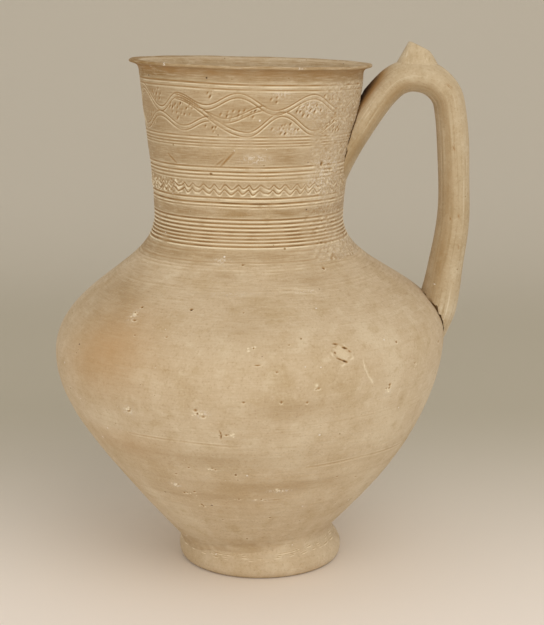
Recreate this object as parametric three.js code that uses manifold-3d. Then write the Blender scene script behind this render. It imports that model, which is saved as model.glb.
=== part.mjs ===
// Unglazed earthenware ewer: turned foot, bowl, shoulder and neck, with a pulled handle and thumb rest.
// Every piece is luted to its neighbour with a thin layer of slip, which is a piece of its own.
// Millimetres, +Z up. The foot stands on z = 0 and the handle is on the +X side.
import * as THREE from "three";
import { mergeVertices } from "three/addons/utils/BufferGeometryUtils.js";
import Module from "manifold-3d";

const wasm = await Module();
wasm.setup();

// Outer face of the vessel, stacked upwards from the underside of the bowl
const BASE_LIFT = 13;
const BASE_RADIUS = 40;
const BOWL_HEIGHT = 113;
const BELLY_RADIUS = 108;
const SHOULDER_HEIGHT = 70;
const WAIST_RADIUS = 52;
const NECK_HEIGHT = 75;
const NECK_TOP_RADIUS = 60.6;
const LIP_HEIGHT = 8.5;
const LIP_OVERHANG = 5.1;
const LIP_EDGE = 3;
const MOUTH_EASE = 1;

// How far each curve runs on along its end before it turns
const BOWL_SPREAD = 16.9;
const BOWL_RISE = 19.9;
const BELLY_UNDER = 43.2;
const BELLY_OVER = 34.4;
const WAIST_UNDER = 29;
const WAIST_OVER = 22;
const NECK_TOP_RUN = 24;
const NECK_TOP_SPREAD = 2.6;

// Sideways drift of the soft clay, and its tilt in degrees towards the handle, from the foot upwards
const BOWL_DRIFT = 0.6;
const BELLY_DRIFT = -1;
const WAIST_DRIFT = -1.3;
const LOW_NECK_DRIFT = -0.8;
const LIP_DRIFT = -0.3;
const BELLY_TILT = 2.4;
const WAIST_TILT = -0.3;
const NECK_TOP_TILT = -1.6;
const LIP_TILT = -1.4;

// Walls, measured square to the outer face
const BODY_WALL = 6;
const NECK_WALL = 5;
const FLOOR_THICKNESS = 8;

// Where the turned pieces meet, as distances from the belly and from the waist
const BELLY_SEAM_DROP = 29;
const NECK_SEAM_DROP = 18.7;

// Ring grooves cut round the foot of the neck
const GROOVE_COUNT = 8;
const GROOVE_WIDTH = 1.5;
const GROOVE_LAND = 0.46;
const GROOVE_DEPTH = 0.7;
const GROOVE_START_DROP = 9.6;

// Foot ring, set a little to the handle's side of the vessel's axis
const FOOT_OFFSET = 5.2;
const FOOT_SPREAD = 3;
const FOOT_BULGE = 3.2;
const FOOT_BULGE_HEIGHT = 6;
const FOOT_TOP_SETBACK = 6.7;
const FOOT_COLLAR = 5;
const FOOT_WALL = 12;

// Handle: a strap of oval section that widens where it meets the vessel
const HANDLE_THICKNESS = 17;
const HANDLE_WIDTH = 21;
const HANDLE_LIP_GAP = 14.3;
const HANDLE_BEND_RADIUS = 20;
const HANDLE_BEND_SETBACK = 3;
const HANDLE_TOP_RISE = 0.8;
const NECK_ROOT_CLEARANCE = 6.8;
const NECK_ROOT_SLOPE = 57;
const NECK_WALL_SLOPE = 81.5;
const NECK_ROOT_FLARE = 20;
const SHOULDER_ROOT_RISE = 14;
const SHOULDER_ROOT_SLOPE = 79;
const SHOULDER_ROOT_BEND_ANGLE = 13;
const SHOULDER_ROOT_FLARE = 14;
const SHOULDER_ROOT_THICKENING = 4.5;
const THICKENING_LENGTH = 85;
const FLARE_LENGTH = 34;
const NECK_ROOT_DEPTH = 16;
const SHOULDER_ROOT_DEPTH = 24;

// Thumb rest, drawn up from the crest of the handle
const THUMB_LENGTH = 23;
const THUMB_WIDTH = 16;
const THUMB_PEAK_RISE = 18.2;
const THUMB_PEAK_SETBACK = 2.8;
const THUMB_PEAK_FLAT = 1.4;
const THUMB_SHOULDER_RISE = 12.6;
const THUMB_SHOULDER_OUT = 7.6;
const THUMB_FOOT_RISE = 3.8;

// Slip layer in each joint, and the clearance on either side of it
const SLIP_THICKNESS = 1;
const SLIP_CLEARANCE = 0.3;
const SLIP_SQUEEZE = 0.8;

// Facets of the curved pieces
const TURNED_SIDES = 40;
const PROFILE_STEPS = 30;
const INSIDE_STRIDE = 2;
const EDGE_STEPS = 3;
const ARCH_STEPS = 6;
const HANDLE_SIDES = 16;
const HANDLE_STEPS = 40;

// Closest that two profile points may lie, as a share of one step, and how near corners are to be welded
const CROWDING = 0.3;
const WELD = 1e-4;
const HALVINGS = 40;

// Angles in degrees, up from +X, at which the handle's middle line passes round the bend
const BEND_ANGLES = [140, 115, 90, 60, 30, 0];

// Fired clay and the slip in the joints
const CLAY = new THREE.Color(0xc2aa87);
const SLIP = new THREE.Color(0xa98f6c);
const ROUGHNESS = 0.92;

// Levels and gaps that follow from the sizes above
const bellyLevel = BASE_LIFT + BOWL_HEIGHT;
const waistLevel = bellyLevel + SHOULDER_HEIGHT;
const neckTopLevel = waistLevel + NECK_HEIGHT;
const rimLevel = neckTopLevel + LIP_HEIGHT;
const bellySeamLevel = bellyLevel - BELLY_SEAM_DROP;
const neckSeamLevel = waistLevel - NECK_SEAM_DROP;
const lipRadius = NECK_TOP_RADIUS + LIP_OVERHANG;
const groovePitch = GROOVE_WIDTH + GROOVE_LAND;
const footBaseRadius = BASE_RADIUS + FOOT_SPREAD;
const footRadius = footBaseRadius + FOOT_BULGE;
const footBore = footBaseRadius - FOOT_WALL;
const slipFar = SLIP_CLEARANCE + SLIP_THICKNESS;
const jointGap = slipFar + SLIP_CLEARANCE;

const lowBowlLevel = BASE_LIFT + BOWL_HEIGHT / 3;
const lowNeckLevel = waistLevel + NECK_HEIGHT * 2 / 5;

// The drift and tilt at each level of the vessel
const LEAN = [
  { level: BASE_LIFT, drift: 0, tilt: 0 },
  { level: lowBowlLevel, drift: BOWL_DRIFT, tilt: 0 },
  { level: bellyLevel, drift: BELLY_DRIFT, tilt: BELLY_TILT },
  { level: waistLevel, drift: WAIST_DRIFT, tilt: WAIST_TILT },
  { level: lowNeckLevel, drift: LOW_NECK_DRIFT, tilt: WAIST_TILT },
  { level: neckTopLevel, drift: 0, tilt: NECK_TOP_TILT },
  { level: rimLevel, drift: LIP_DRIFT, tilt: LIP_TILT },
];

const point = (radius, level) => new THREE.Vector2(radius, level);

// The outer face from the underside's edge to the top of the neck, as one path of radius and level.
const outerFace = new THREE.Path();
outerFace.moveTo(BASE_RADIUS, BASE_LIFT);
outerFace.bezierCurveTo(
  BASE_RADIUS + BOWL_SPREAD, BASE_LIFT + BOWL_RISE,
  BELLY_RADIUS, bellyLevel - BELLY_UNDER,
  BELLY_RADIUS, bellyLevel,
);
outerFace.bezierCurveTo(
  BELLY_RADIUS, bellyLevel + BELLY_OVER,
  WAIST_RADIUS, waistLevel - WAIST_UNDER,
  WAIST_RADIUS, waistLevel,
);
outerFace.bezierCurveTo(
  WAIST_RADIUS, waistLevel + WAIST_OVER,
  NECK_TOP_RADIUS - NECK_TOP_SPREAD, neckTopLevel - NECK_TOP_RUN,
  NECK_TOP_RADIUS, neckTopLevel,
);

// Share of the path's length at which the outer face reaches a level.
function shareAtLevel(level) {
  let low = 0;
  let high = 1;
  for (let i = 0; i < HALVINGS; i += 1) {
    const middle = (low + high) / 2;
    if (outerFace.getPoint(middle).y < level) low = middle;
    else high = middle;
  }
  return (low + high) / 2;
}

// A point that lies a distance outside the outer face, or inside it where the distance is negative.
function beside(share, distance) {
  const tangent = outerFace.getTangent(share);
  const on = outerFace.getPoint(share);
  return point(on.x + tangent.y * distance, on.y - tangent.x * distance);
}

// Even steps along the outer face between two shares, with both ends. A stride leaves some steps out.
function sharesBetween(from, to, stride = 1) {
  const least = CROWDING / PROFILE_STEPS;
  const shares = [from];
  for (let i = stride; i < PROFILE_STEPS; i += stride) {
    const share = i / PROFILE_STEPS;
    if (share > from + least && share < to - least) shares.push(share);
  }
  shares.push(to);
  return shares;
}

// Points a distance outside the outer face between two shares, from the lower one up.
function faceBetween(from, to, distance, stride = 1) {
  return sharesBetween(from, to, stride).map((share) => beside(share, distance));
}

// Drift and tilt of the clay at a level, eased between the listed levels.
function leanAt(level) {
  const last = LEAN.length - 1;
  if (level <= LEAN[0].level) return LEAN[0];
  if (level >= LEAN[last].level) return LEAN[last];
  const i = LEAN.findIndex((next) => next.level > level);
  const t = THREE.MathUtils.smoothstep(level, LEAN[i - 1].level, LEAN[i].level);
  return {
    drift: THREE.MathUtils.lerp(LEAN[i - 1].drift, LEAN[i].drift, t),
    tilt: THREE.MathUtils.lerp(LEAN[i - 1].tilt, LEAN[i].tilt, t),
  };
}

// Closed geometry with shared corners, as a solid that can be cut.
function solid(geometry) {
  geometry.deleteAttribute("normal");
  geometry.deleteAttribute("uv");
  const merged = mergeVertices(geometry, WELD);
  return new wasm.Manifold(new wasm.Mesh({
    numProp: 3,
    vertProperties: merged.attributes.position.array,
    triVerts: new Uint32Array(merged.index.array),
  }));
}

// Revolves a profile about the vessel's axis and gives it the lean of the fired vessel.
function turned(profile) {
  const geometry = new THREE.LatheGeometry(profile, TURNED_SIDES).rotateX(Math.PI / 2);
  const position = geometry.attributes.position;
  for (let i = 0; i < position.count; i += 1) {
    const level = position.getZ(i);
    const { drift, tilt } = leanAt(level);
    const x = position.getX(i);
    position.setXYZ(i, x + drift, position.getY(i), level + x * Math.tan(THREE.MathUtils.degToRad(tilt)));
  }
  return solid(geometry);
}

// The vessel as a full solid grown outwards by a margin, which cuts what is luted to it.
function core(margin) {
  const wall = faceBetween(0, 1, margin);
  const top = wall[wall.length - 1];
  const under = BASE_LIFT - margin;
  return turned([point(0, under), point(BASE_RADIUS, under), ...wall, point(0, top.y)]);
}

// Profile of a wall between two shares of the outer face, closed on itself.
function wallProfile(from, to, thickness) {
  const outer = faceBetween(from, to, 0);
  const inner = faceBetween(from, to, -thickness, INSIDE_STRIDE).reverse();
  return [...outer, ...inner, outer[0].clone()];
}

// Shares on either side of a seam's middle line: where the wall below ends, and so on upwards.
function seamShares(level) {
  const middle = shareAtLevel(level);
  const length = outerFace.getLength();
  return {
    below: middle - jointGap / 2 / length,
    slipLow: middle - SLIP_THICKNESS / 2 / length,
    slipHigh: middle + SLIP_THICKNESS / 2 / length,
    above: middle + jointGap / 2 / length,
  };
}

const bellySeam = seamShares(bellySeamLevel);
const neckSeam = seamShares(neckSeamLevel);

// The bowl: floor and wall in one, up to the seam under the belly.
function lowerBody() {
  const floorLevel = BASE_LIFT + FLOOR_THICKNESS;
  const outer = faceBetween(0, bellySeam.below, 0);
  const inner = faceBetween(0, bellySeam.below, -BODY_WALL, INSIDE_STRIDE);
  const wall = inner.filter((p) => p.y > floorLevel + BODY_WALL / 2).reverse();
  const floorEdge = point(wall[wall.length - 1].x - BODY_WALL, floorLevel);
  return turned([point(0, BASE_LIFT), ...outer, ...wall, floorEdge, point(0, floorLevel)]);
}

// Outer face of the neck from the seam up, with the ring grooves cut into it.
function neckOuterFace() {
  const grooves = [];
  for (let i = 0; i < GROOVE_COUNT; i += 1) {
    const level = waistLevel - GROOVE_START_DROP + i * groovePitch;
    grooves.push(beside(shareAtLevel(level - GROOVE_WIDTH / 2), 0));
    grooves.push(beside(shareAtLevel(level), -GROOVE_DEPTH));
    grooves.push(beside(shareAtLevel(level + GROOVE_WIDTH / 2), 0));
  }
  const lowest = grooves[0].y - GROOVE_WIDTH;
  const highest = grooves[grooves.length - 1].y + GROOVE_WIDTH;
  const plain = faceBetween(neckSeam.above, 1, 0);
  const below = plain.filter((p) => p.y < lowest);
  const above = plain.filter((p) => p.y > highest);
  return [...below, ...grooves, ...above];
}

// The neck, which turns out at the top into a thin lip with a rounded edge.
function neck() {
  const inside = faceBetween(neckSeam.above, 1, -NECK_WALL, INSIDE_STRIDE).reverse();
  const edge = LIP_EDGE / 2;
  const outline = new THREE.Path();
  outline.moveTo(NECK_TOP_RADIUS, neckTopLevel);
  outline.quadraticCurveTo(
    NECK_TOP_RADIUS, rimLevel - LIP_EDGE,
    lipRadius - edge, rimLevel - LIP_EDGE,
  );
  outline.absarc(lipRadius - edge, rimLevel - edge, edge, -Math.PI / 2, Math.PI / 2, false);
  outline.quadraticCurveTo(inside[0].x, rimLevel, inside[0].x, inside[0].y + MOUTH_EASE);
  const lip = outline.getPoints(EDGE_STEPS).slice(1);
  const outer = neckOuterFace();
  return turned([...outer, ...lip, ...inside, outer[0].clone()]);
}

// The foot before it is fitted to the bowl: a thick ring with a bulging outer face.
function footBlank() {
  const top = BASE_LIFT + FOOT_COLLAR;
  const outline = new THREE.Path();
  outline.moveTo(footBore, 0);
  outline.lineTo(footBaseRadius, 0);
  outline.absellipse(
    footBaseRadius, FOOT_BULGE_HEIGHT,
    FOOT_BULGE, FOOT_BULGE_HEIGHT,
    -Math.PI / 2, 0, false, 0,
  );
  outline.absellipse(
    footRadius - FOOT_TOP_SETBACK, FOOT_BULGE_HEIGHT,
    FOOT_TOP_SETBACK, top - FOOT_BULGE_HEIGHT,
    0, Math.PI / 2, false, 0,
  );
  outline.lineTo(footBore, top);
  outline.closePath();
  const ring = new THREE.LatheGeometry(outline.getPoints(EDGE_STEPS), TURNED_SIDES).rotateX(Math.PI / 2);
  return solid(ring.translate(FOOT_OFFSET, 0, 0));
}

// A place on the handle's side of the outer face, in the plane of the handle.
function handSide(level) {
  const { drift, tilt } = leanAt(level);
  const radius = beside(shareAtLevel(level), 0).x;
  return new THREE.Vector3(radius + drift, 0, level + radius * Math.tan(THREE.MathUtils.degToRad(tilt)));
}

// A vector in the plane of the handle, at an angle in degrees up from +X.
function inHandlePlane(angle, length) {
  const turn = THREE.MathUtils.degToRad(angle);
  return new THREE.Vector3(Math.cos(turn) * length, 0, Math.sin(turn) * length);
}

// The bend stands clear of the lip, and its top is a little above the rim.
const crest = new THREE.Vector3(
  lipRadius + HANDLE_LIP_GAP + HANDLE_THICKNESS / 2,
  0,
  rimLevel + HANDLE_TOP_RISE - HANDLE_THICKNESS / 2,
);
const bendCentre = crest.clone().sub(inHandlePlane(90, HANDLE_BEND_RADIUS));
const handleReach = crest.x + HANDLE_BEND_RADIUS + HANDLE_BEND_SETBACK;

// Height of the handle's slanting cut where it meets the neck, whose wall leans out a little.
const neckRootTurn = THREE.MathUtils.degToRad(NECK_WALL_SLOPE - NECK_ROOT_SLOPE);
const neckRootSpan = HANDLE_THICKNESS / Math.sin(neckRootTurn);

// Middle line of the handle, from inside the neck over the bend and down into the shoulder.
function handleLine() {
  const neckRoot = handSide(neckTopLevel - NECK_ROOT_CLEARANCE - neckRootSpan / 2);
  const shoulderRoot = handSide(bellyLevel + SHOULDER_ROOT_RISE);
  const intoNeck = inHandlePlane(NECK_ROOT_SLOPE, -NECK_ROOT_DEPTH);
  const outOfShoulder = inHandlePlane(SHOULDER_ROOT_SLOPE, SHOULDER_ROOT_DEPTH);
  const intoShoulder = inHandlePlane(SHOULDER_ROOT_SLOPE - SHOULDER_ROOT_BEND_ANGLE, -SHOULDER_ROOT_DEPTH);
  const bend = BEND_ANGLES.map((angle) =>
    bendCentre.clone().add(inHandlePlane(angle, HANDLE_BEND_RADIUS)));
  const grip = new THREE.Vector3(handleReach, 0, (bendCentre.z + shoulderRoot.z) / 2);
  return new THREE.CatmullRomCurve3([
    neckRoot.clone().add(intoNeck),
    neckRoot,
    ...bend,
    grip,
    shoulderRoot.clone().add(outOfShoulder),
    shoulderRoot,
    shoulderRoot.clone().add(intoShoulder),
  ]);
}

const middleLine = handleLine();
const middleLength = middleLine.getLength();

// Extra size at a distance outside the vessel, which dies away over a length.
function flare(distance, size, length) {
  return size * THREE.MathUtils.clamp(1 - distance / length, 0, 1) ** 2;
}

// The handle between two shares of its middle line, grown by a margin: a cylinder bent along the line.
function handleBlank(margin, from, to) {
  const steps = Math.ceil(HANDLE_STEPS * (to - from));
  const geometry = new THREE.CylinderGeometry(1, 1, 1, HANDLE_SIDES, steps);
  const position = geometry.attributes.position;
  const across = new THREE.Vector3(0, 1, 0);
  for (let i = 0; i < position.count; i += 1) {
    const share = THREE.MathUtils.lerp(from, to, position.getY(i) + 0.5);
    const fromNeck = share * middleLength - NECK_ROOT_DEPTH;
    const fromShoulder = (1 - share) * middleLength - SHOULDER_ROOT_DEPTH;
    const thickness = HANDLE_THICKNESS + flare(fromShoulder, SHOULDER_ROOT_THICKENING, THICKENING_LENGTH);
    const neckFlare = flare(fromNeck, NECK_ROOT_FLARE, FLARE_LENGTH);
    const width = HANDLE_WIDTH + neckFlare + flare(fromShoulder, SHOULDER_ROOT_FLARE, FLARE_LENGTH);
    const out = new THREE.Vector3().crossVectors(middleLine.getTangentAt(share), across).normalize();
    const place = middleLine.getPointAt(share)
      .addScaledVector(out, position.getX(i) * (thickness / 2 + margin))
      .addScaledVector(across, position.getZ(i) * (width / 2 + margin));
    position.setXYZ(i, place.x, place.y, place.z);
  }
  return solid(geometry);
}

// How much higher than its crown an arch's control points stand.
const ARCH_PULL = 4 / 3;

// A flat outline made into a block of a given depth, centred on the crest of the handle.
function crestBlock(outline, depth, turn) {
  const sizes = { depth, bevelEnabled: false, curveSegments: ARCH_STEPS };
  const geometry = new THREE.ExtrudeGeometry(outline, sizes);
  geometry.translate(0, 0, -depth / 2).rotateX(Math.PI / 2).rotateZ(turn);
  return solid(geometry.translate(crest.x, crest.y, crest.z));
}

// The thumb rest before it is fitted to the handle: a fin with its peak towards the neck, arched across.
function thumbBlank() {
  const half = THUMB_LENGTH / 2;
  const side = new THREE.Shape();
  side.moveTo(-half, THUMB_FOOT_RISE);
  side.lineTo(-half, -THUMB_FOOT_RISE);
  side.lineTo(half, -THUMB_FOOT_RISE);
  side.lineTo(half, THUMB_FOOT_RISE);
  side.quadraticCurveTo(
    THUMB_SHOULDER_OUT + THUMB_PEAK_FLAT, THUMB_SHOULDER_RISE,
    THUMB_SHOULDER_OUT, THUMB_SHOULDER_RISE,
  );
  side.lineTo(-THUMB_PEAK_SETBACK, THUMB_PEAK_RISE);
  side.lineTo(-THUMB_PEAK_SETBACK - THUMB_PEAK_FLAT, THUMB_PEAK_RISE - THUMB_PEAK_FLAT / 2);
  const reach = THUMB_WIDTH / 2;
  const archControl = THUMB_FOOT_RISE + (THUMB_PEAK_RISE + THUMB_PEAK_FLAT - THUMB_FOOT_RISE) * ARCH_PULL;
  const front = new THREE.Shape();
  front.moveTo(-reach, -THUMB_FOOT_RISE);
  front.lineTo(reach, -THUMB_FOOT_RISE);
  front.lineTo(reach, THUMB_FOOT_RISE);
  front.bezierCurveTo(
    reach, archControl,
    -reach, archControl,
    -reach, THUMB_FOOT_RISE,
  );
  return crestBlock(side, THUMB_WIDTH, 0).intersect(crestBlock(front, THUMB_LENGTH, Math.PI / 2));
}

// The slip between a blank and what it is luted to, given that neighbour at the slip's two faces.
const slipBetween = (blank, farFace, nearFace) => blank.intersect(farFace).subtract(nearFace);

const coreNear = core(SLIP_CLEARANCE);
const coreSlip = core(slipFar);
const coreFar = core(jointGap);
const foot = footBlank();
const thumb = thumbBlank();
const wholeHandle = (margin) => handleBlank(margin, 0, 1);
const neckEnd = handleBlank(SLIP_SQUEEZE, 0, 1 / 2);
const shoulderEnd = handleBlank(SLIP_SQUEEZE, 1 / 2, 1);

// Each piece by name, with its fired colour.
const pieces = [
  ["foot_ring", CLAY, foot.subtract(coreFar)],
  ["foot_luting", SLIP, slipBetween(foot, coreSlip, coreNear)],
  ["lower_body", CLAY, lowerBody()],
  ["belly_luting", SLIP, turned(wallProfile(bellySeam.slipLow, bellySeam.slipHigh, BODY_WALL))],
  ["upper_body", CLAY, turned(wallProfile(bellySeam.above, neckSeam.below, BODY_WALL))],
  ["neck_luting", SLIP, turned(wallProfile(neckSeam.slipLow, neckSeam.slipHigh, NECK_WALL))],
  ["neck", CLAY, neck()],
  ["handle", CLAY, wholeHandle(0).subtract(coreFar)],
  ["upper_handle_luting", SLIP, slipBetween(neckEnd, coreSlip, coreNear)],
  ["lower_handle_luting", SLIP, slipBetween(shoulderEnd, coreSlip, coreNear)],
  ["thumb_rest", CLAY, thumb.subtract(wholeHandle(jointGap))],
  ["thumb_rest_luting", SLIP, slipBetween(thumb, wholeHandle(slipFar), wholeHandle(SLIP_CLEARANCE))],
];

// A named mesh of a finished solid.
function fired(name, color, body) {
  const { vertProperties, triVerts } = body.getMesh();
  const geometry = new THREE.BufferGeometry();
  geometry.setAttribute("position", new THREE.BufferAttribute(vertProperties, 3));
  geometry.setIndex(new THREE.BufferAttribute(triVerts, 1));
  geometry.computeVertexNormals();
  const material = new THREE.MeshStandardMaterial({ color, roughness: ROUGHNESS, metalness: 0 });
  const mesh = new THREE.Mesh(geometry, material);
  mesh.name = name;
  return mesh;
}

const ewer = new THREE.Group();
ewer.name = "ewer";
for (const [name, color, body] of pieces) ewer.add(fired(name, color, body));

// The origin is the middle of the ewer's footprint, at the level that the foot stands on.
const footprint = new THREE.Box3().setFromObject(ewer).getCenter(new THREE.Vector3());
for (const mesh of ewer.children) mesh.position.set(-footprint.x, -footprint.y, 0);

export default ewer;
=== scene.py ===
"""Unglazed earthenware ewer: buff clay thrown in three parts on a ring foot, with a pulled handle.

The frame's axes in metres: +Z up, the foot stands on z = 0 and the handle is on the +X side.
Sizes of the clay are written in millimetres and become metres when a piece is placed.
Angles round the vessel are in degrees from the front, which is -Y, and grow towards the handle.
"""

import logging
import math
from collections.abc import Iterator
from dataclasses import dataclass
from enum import Enum
from functools import cached_property
from typing import ClassVar, NamedTuple

import bmesh
import bpy
import numpy as np
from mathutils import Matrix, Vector
from mathutils.kdtree import KDTree


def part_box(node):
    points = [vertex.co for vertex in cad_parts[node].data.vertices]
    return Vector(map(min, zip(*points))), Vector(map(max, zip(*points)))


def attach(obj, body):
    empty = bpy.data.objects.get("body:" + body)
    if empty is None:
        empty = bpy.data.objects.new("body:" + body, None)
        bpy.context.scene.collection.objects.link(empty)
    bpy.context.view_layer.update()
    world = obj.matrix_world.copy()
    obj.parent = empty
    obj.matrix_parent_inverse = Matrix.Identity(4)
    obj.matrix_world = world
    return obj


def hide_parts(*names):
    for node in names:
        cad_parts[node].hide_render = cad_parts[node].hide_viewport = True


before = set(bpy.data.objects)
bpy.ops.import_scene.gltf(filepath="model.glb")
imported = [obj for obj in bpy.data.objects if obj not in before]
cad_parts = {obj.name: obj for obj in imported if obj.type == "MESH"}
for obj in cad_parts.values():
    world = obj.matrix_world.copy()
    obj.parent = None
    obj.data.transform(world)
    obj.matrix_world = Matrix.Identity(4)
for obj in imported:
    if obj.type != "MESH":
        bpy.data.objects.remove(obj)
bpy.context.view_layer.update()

LOG = logging.getLogger("ewer")
MM = 0.001
# How far the foot sits to the handle's side of the vessel's axis
FOOT_OFFSET = 5.2
# Edges that turn by more than this stay crisp
SHARP_ANGLE = math.radians(70)
# Points of a spun shape that lie closer than this are one
WELD = 1e-4
# A point less than this inside the smooth form is still on its outer face
FACE_SLACK = 1.0
# Attributes that hold a place on a strap as if it were straight, and the length along the paper
DRAWN_PLACE = "drawn_place"
SWEEP = "sweep"

Array = np.ndarray
Socket = bpy.types.NodeSocket
Tree = bpy.types.NodeTree
Material = bpy.types.Material
Mesh = bpy.types.Mesh
Shape = bmesh.types.BMesh
Piece = bpy.types.Object
Point = tuple[float, float]
Triple = tuple[float, float, float]


class Tone(Enum):
    """Colour changes that a piece carries as values on its vertices, from 0 to 1.

    GAP says where the nearest drawn line is: 0.5 on the line, and 0 or 1 a millimetre below or above it.
    CUT is the strength of that line.
    """

    # Soil in hollows and pits, and painted shade under the lip and on the handle beside the neck
    HOLLOW = "hollow"
    # Pale burr and rubbed clay, and painted highlights below drawn lines, pits and wave troughs
    RIDGE = "ridge"
    # Brown stains, and painted shade at the foot's bottom edge, in the crease over the foot, under the
    # lip, inside the mouth and down the handle's flanks
    STAIN = "stain"
    BLOOM = "bloom"
    BLUSH = "blush"
    RASP = "rasp"
    GAP = "gap"
    CUT = "cut"


class Grain(Enum):
    """Noises that break up the clay's colour, from the fire's clouds to the wheel's rasped lines."""

    CLOUD = "cloud"
    MOTTLE = "mottle"
    GRIT = "grit"
    STREAK = "streak"
    RASP = "rasp"


class Slot(Enum):
    """Material slots of the record."""

    CLAY = "buff_clay"
    SLIP = "slip"


def linear(code: str) -> tuple[float, float, float, float]:
    """Turns an sRGB hex colour into the linear colour that a shader takes.

    Args:
        code: The colour as #RRGGBB.

    Returns:
        Linear red, green and blue, with an alpha of 1.
    """
    channels = [int(code[i:i + 2], 16) / 255 for i in (1, 3, 5)]
    red, green, blue = (c / 12.92 if c <= 0.04045 else ((c + 0.055) / 1.055) ** 2.4 for c in channels)
    return red, green, blue, 1.0


def add_node(tree: Tree, kind: str, inputs: dict, **settings: str) -> bpy.types.Node:
    """Adds a shader node with its settings and links.

    Args:
        tree: The node tree that gets the node.
        kind: The node's type name without its ShaderNode.
        inputs: A value or an output socket for each input, by name or index.
        settings: The node's own properties.

    Returns:
        The new node.
    """
    node = tree.nodes.new("ShaderNode" + kind)
    for key, value in settings.items():
        setattr(node, key, value)
    for key, value in inputs.items():
        if isinstance(value, Socket):
            tree.links.new(value, node.inputs[key])
        else:
            node.inputs[key].default_value = value
    return node


def new_material(name: str) -> Material:
    """A material with an empty node tree."""
    material = bpy.data.materials.new(name)
    material.use_nodes = True
    material.node_tree.nodes.clear()
    return material


def smoothstep(value: Array, low: float | Array, high: float | Array) -> Array:
    """Eases from 0 at low to 1 at high."""
    t = np.clip((value - low) / (high - low), 0.0, 1.0)
    return t * t * (3.0 - 2.0 * t)


def span(value: Array, start: float, full: float, ebb: float, end: float) -> Array:
    """Eases in from 0 at start to 1 at full, and out again from ebb to end."""
    return smoothstep(value, start, full) * (1.0 - smoothstep(value, ebb, end))


def hump(value: Array, middle: float, width: float | Array) -> Array:
    """A soft hump: 1 in the middle, and a third of that a width away."""
    return np.exp(-((value - middle) / width) ** 2)


def half_turn(angle: Array) -> Array:
    """The same angle in degrees, from -180 up to 180."""
    return (angle + 180.0) % 360.0 - 180.0


def bezier(start: Point, first: Point, second: Point, end: Point, steps: int) -> Array:
    """Points on a cubic curve, evenly spaced in its own measure, with both ends."""
    t = np.linspace(0.0, 1.0, steps)[:, None]
    a, b, c, d = (np.array(p, float) for p in (start, first, second, end))
    return (1 - t) ** 3 * a + 3 * (1 - t) ** 2 * t * b + 3 * (1 - t) * t ** 2 * c + t ** 3 * d


def smooth_line(knots: list[Point], steps: int) -> Array:
    """Draws a smooth open line through knots, with no loops where they crowd.

    Args:
        knots: Points in a plane that the line passes through.
        steps: Points on each stretch between two knots.

    Returns:
        The line's points.
    """
    p = [np.array(k, float) for k in knots]
    p = [2 * p[0] - p[1], *p, 2 * p[-1] - p[-2]]
    line = []
    for a, b, c, d in zip(p, p[1:], p[2:], p[3:]):
        ta = 0.0
        tb = ta + math.sqrt(np.linalg.norm(b - a))
        tc = tb + math.sqrt(np.linalg.norm(c - b))
        td = tc + math.sqrt(np.linalg.norm(d - c))
        for t in np.linspace(tb, tc, steps, endpoint=False):
            ab = ((tb - t) * a + (t - ta) * b) / (tb - ta)
            bc = ((tc - t) * b + (t - tb) * c) / (tc - tb)
            cd = ((td - t) * c + (t - tc) * d) / (td - tc)
            abc = ((tc - t) * ab + (t - ta) * bc) / (tc - ta)
            bcd = ((td - t) * bc + (t - tb) * cd) / (td - tb)
            line.append(((tc - t) * abc + (t - tb) * bcd) / (tc - tb))
    line.append(p[-2])
    return np.array(line)


def run_along(line: Array) -> Array:
    """Length along a line at each of its points."""
    return np.concatenate([[0.0], np.cumsum(np.linalg.norm(np.diff(line, axis=0), axis=1))])


def spun(outline: list[Point], sides: int) -> Shape:
    """Spins an outline round the axis into a closed shape.

    Args:
        outline: Radius and level of its points. It starts and ends on the axis, or it closes on itself.
        sides: Steps round the axis.

    Returns:
        The shape, upright about the axis, in mm.
    """
    bm = bmesh.new()
    verts = [bm.verts.new((radius, 0.0, level)) for radius, level in outline]
    edges = [bm.edges.new(pair) for pair in zip(verts, verts[1:])]
    if outline[0][0] > 0:
        edges.append(bm.edges.new((verts[-1], verts[0])))
    bmesh.ops.spin(bm, geom=verts + edges, cent=(0, 0, 0), axis=(0, 0, 1),
                   angle=math.tau, steps=sides, use_merge=True)
    bmesh.ops.remove_doubles(bm, verts=bm.verts, dist=WELD)
    bmesh.ops.recalc_face_normals(bm, faces=bm.faces)
    return bm


def drawn_on(bm: Shape, edges: list) -> tuple[list, list]:
    """Draws edges out into new ones, still in the same place, and returns the new vertices and edges."""
    drawn = bmesh.ops.extrude_edge_only(bm, edges=edges)["geom"]
    verts = [item for item in drawn if isinstance(item, bmesh.types.BMVert)]
    edges = [item for item in drawn if isinstance(item, bmesh.types.BMEdge)
             and all(vert in verts for vert in item.verts)]
    return verts, edges


def drawn_rings(bm: Shape, segments: int, count: int) -> Iterator[list[bmesh.types.BMVert]]:
    """Draws a circle out into a tube, ring by ring, and closes its ends after the last.

    Args:
        bm: The empty shape that gets the tube.
        segments: Points of each ring.
        count: Rings in all.

    Yields:
        Each ring's vertices, which the caller places before it asks for the next ring.
    """
    ring = bmesh.ops.create_circle(bm, segments=segments, radius=1.0)["verts"]
    edges = list(bm.edges)
    yield ring
    for _ in range(count - 1):
        ring, edges = drawn_on(bm, edges)
        yield ring
    bmesh.ops.holes_fill(bm, edges=bm.edges, sides=0)
    bmesh.ops.recalc_face_normals(bm, faces=bm.faces)


def mesh_from(bm: Shape, name: str) -> Mesh:
    """Turns a shape into a named mesh."""
    mesh = bpy.data.meshes.new(name)
    bm.to_mesh(mesh)
    bm.free()
    return mesh


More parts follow.
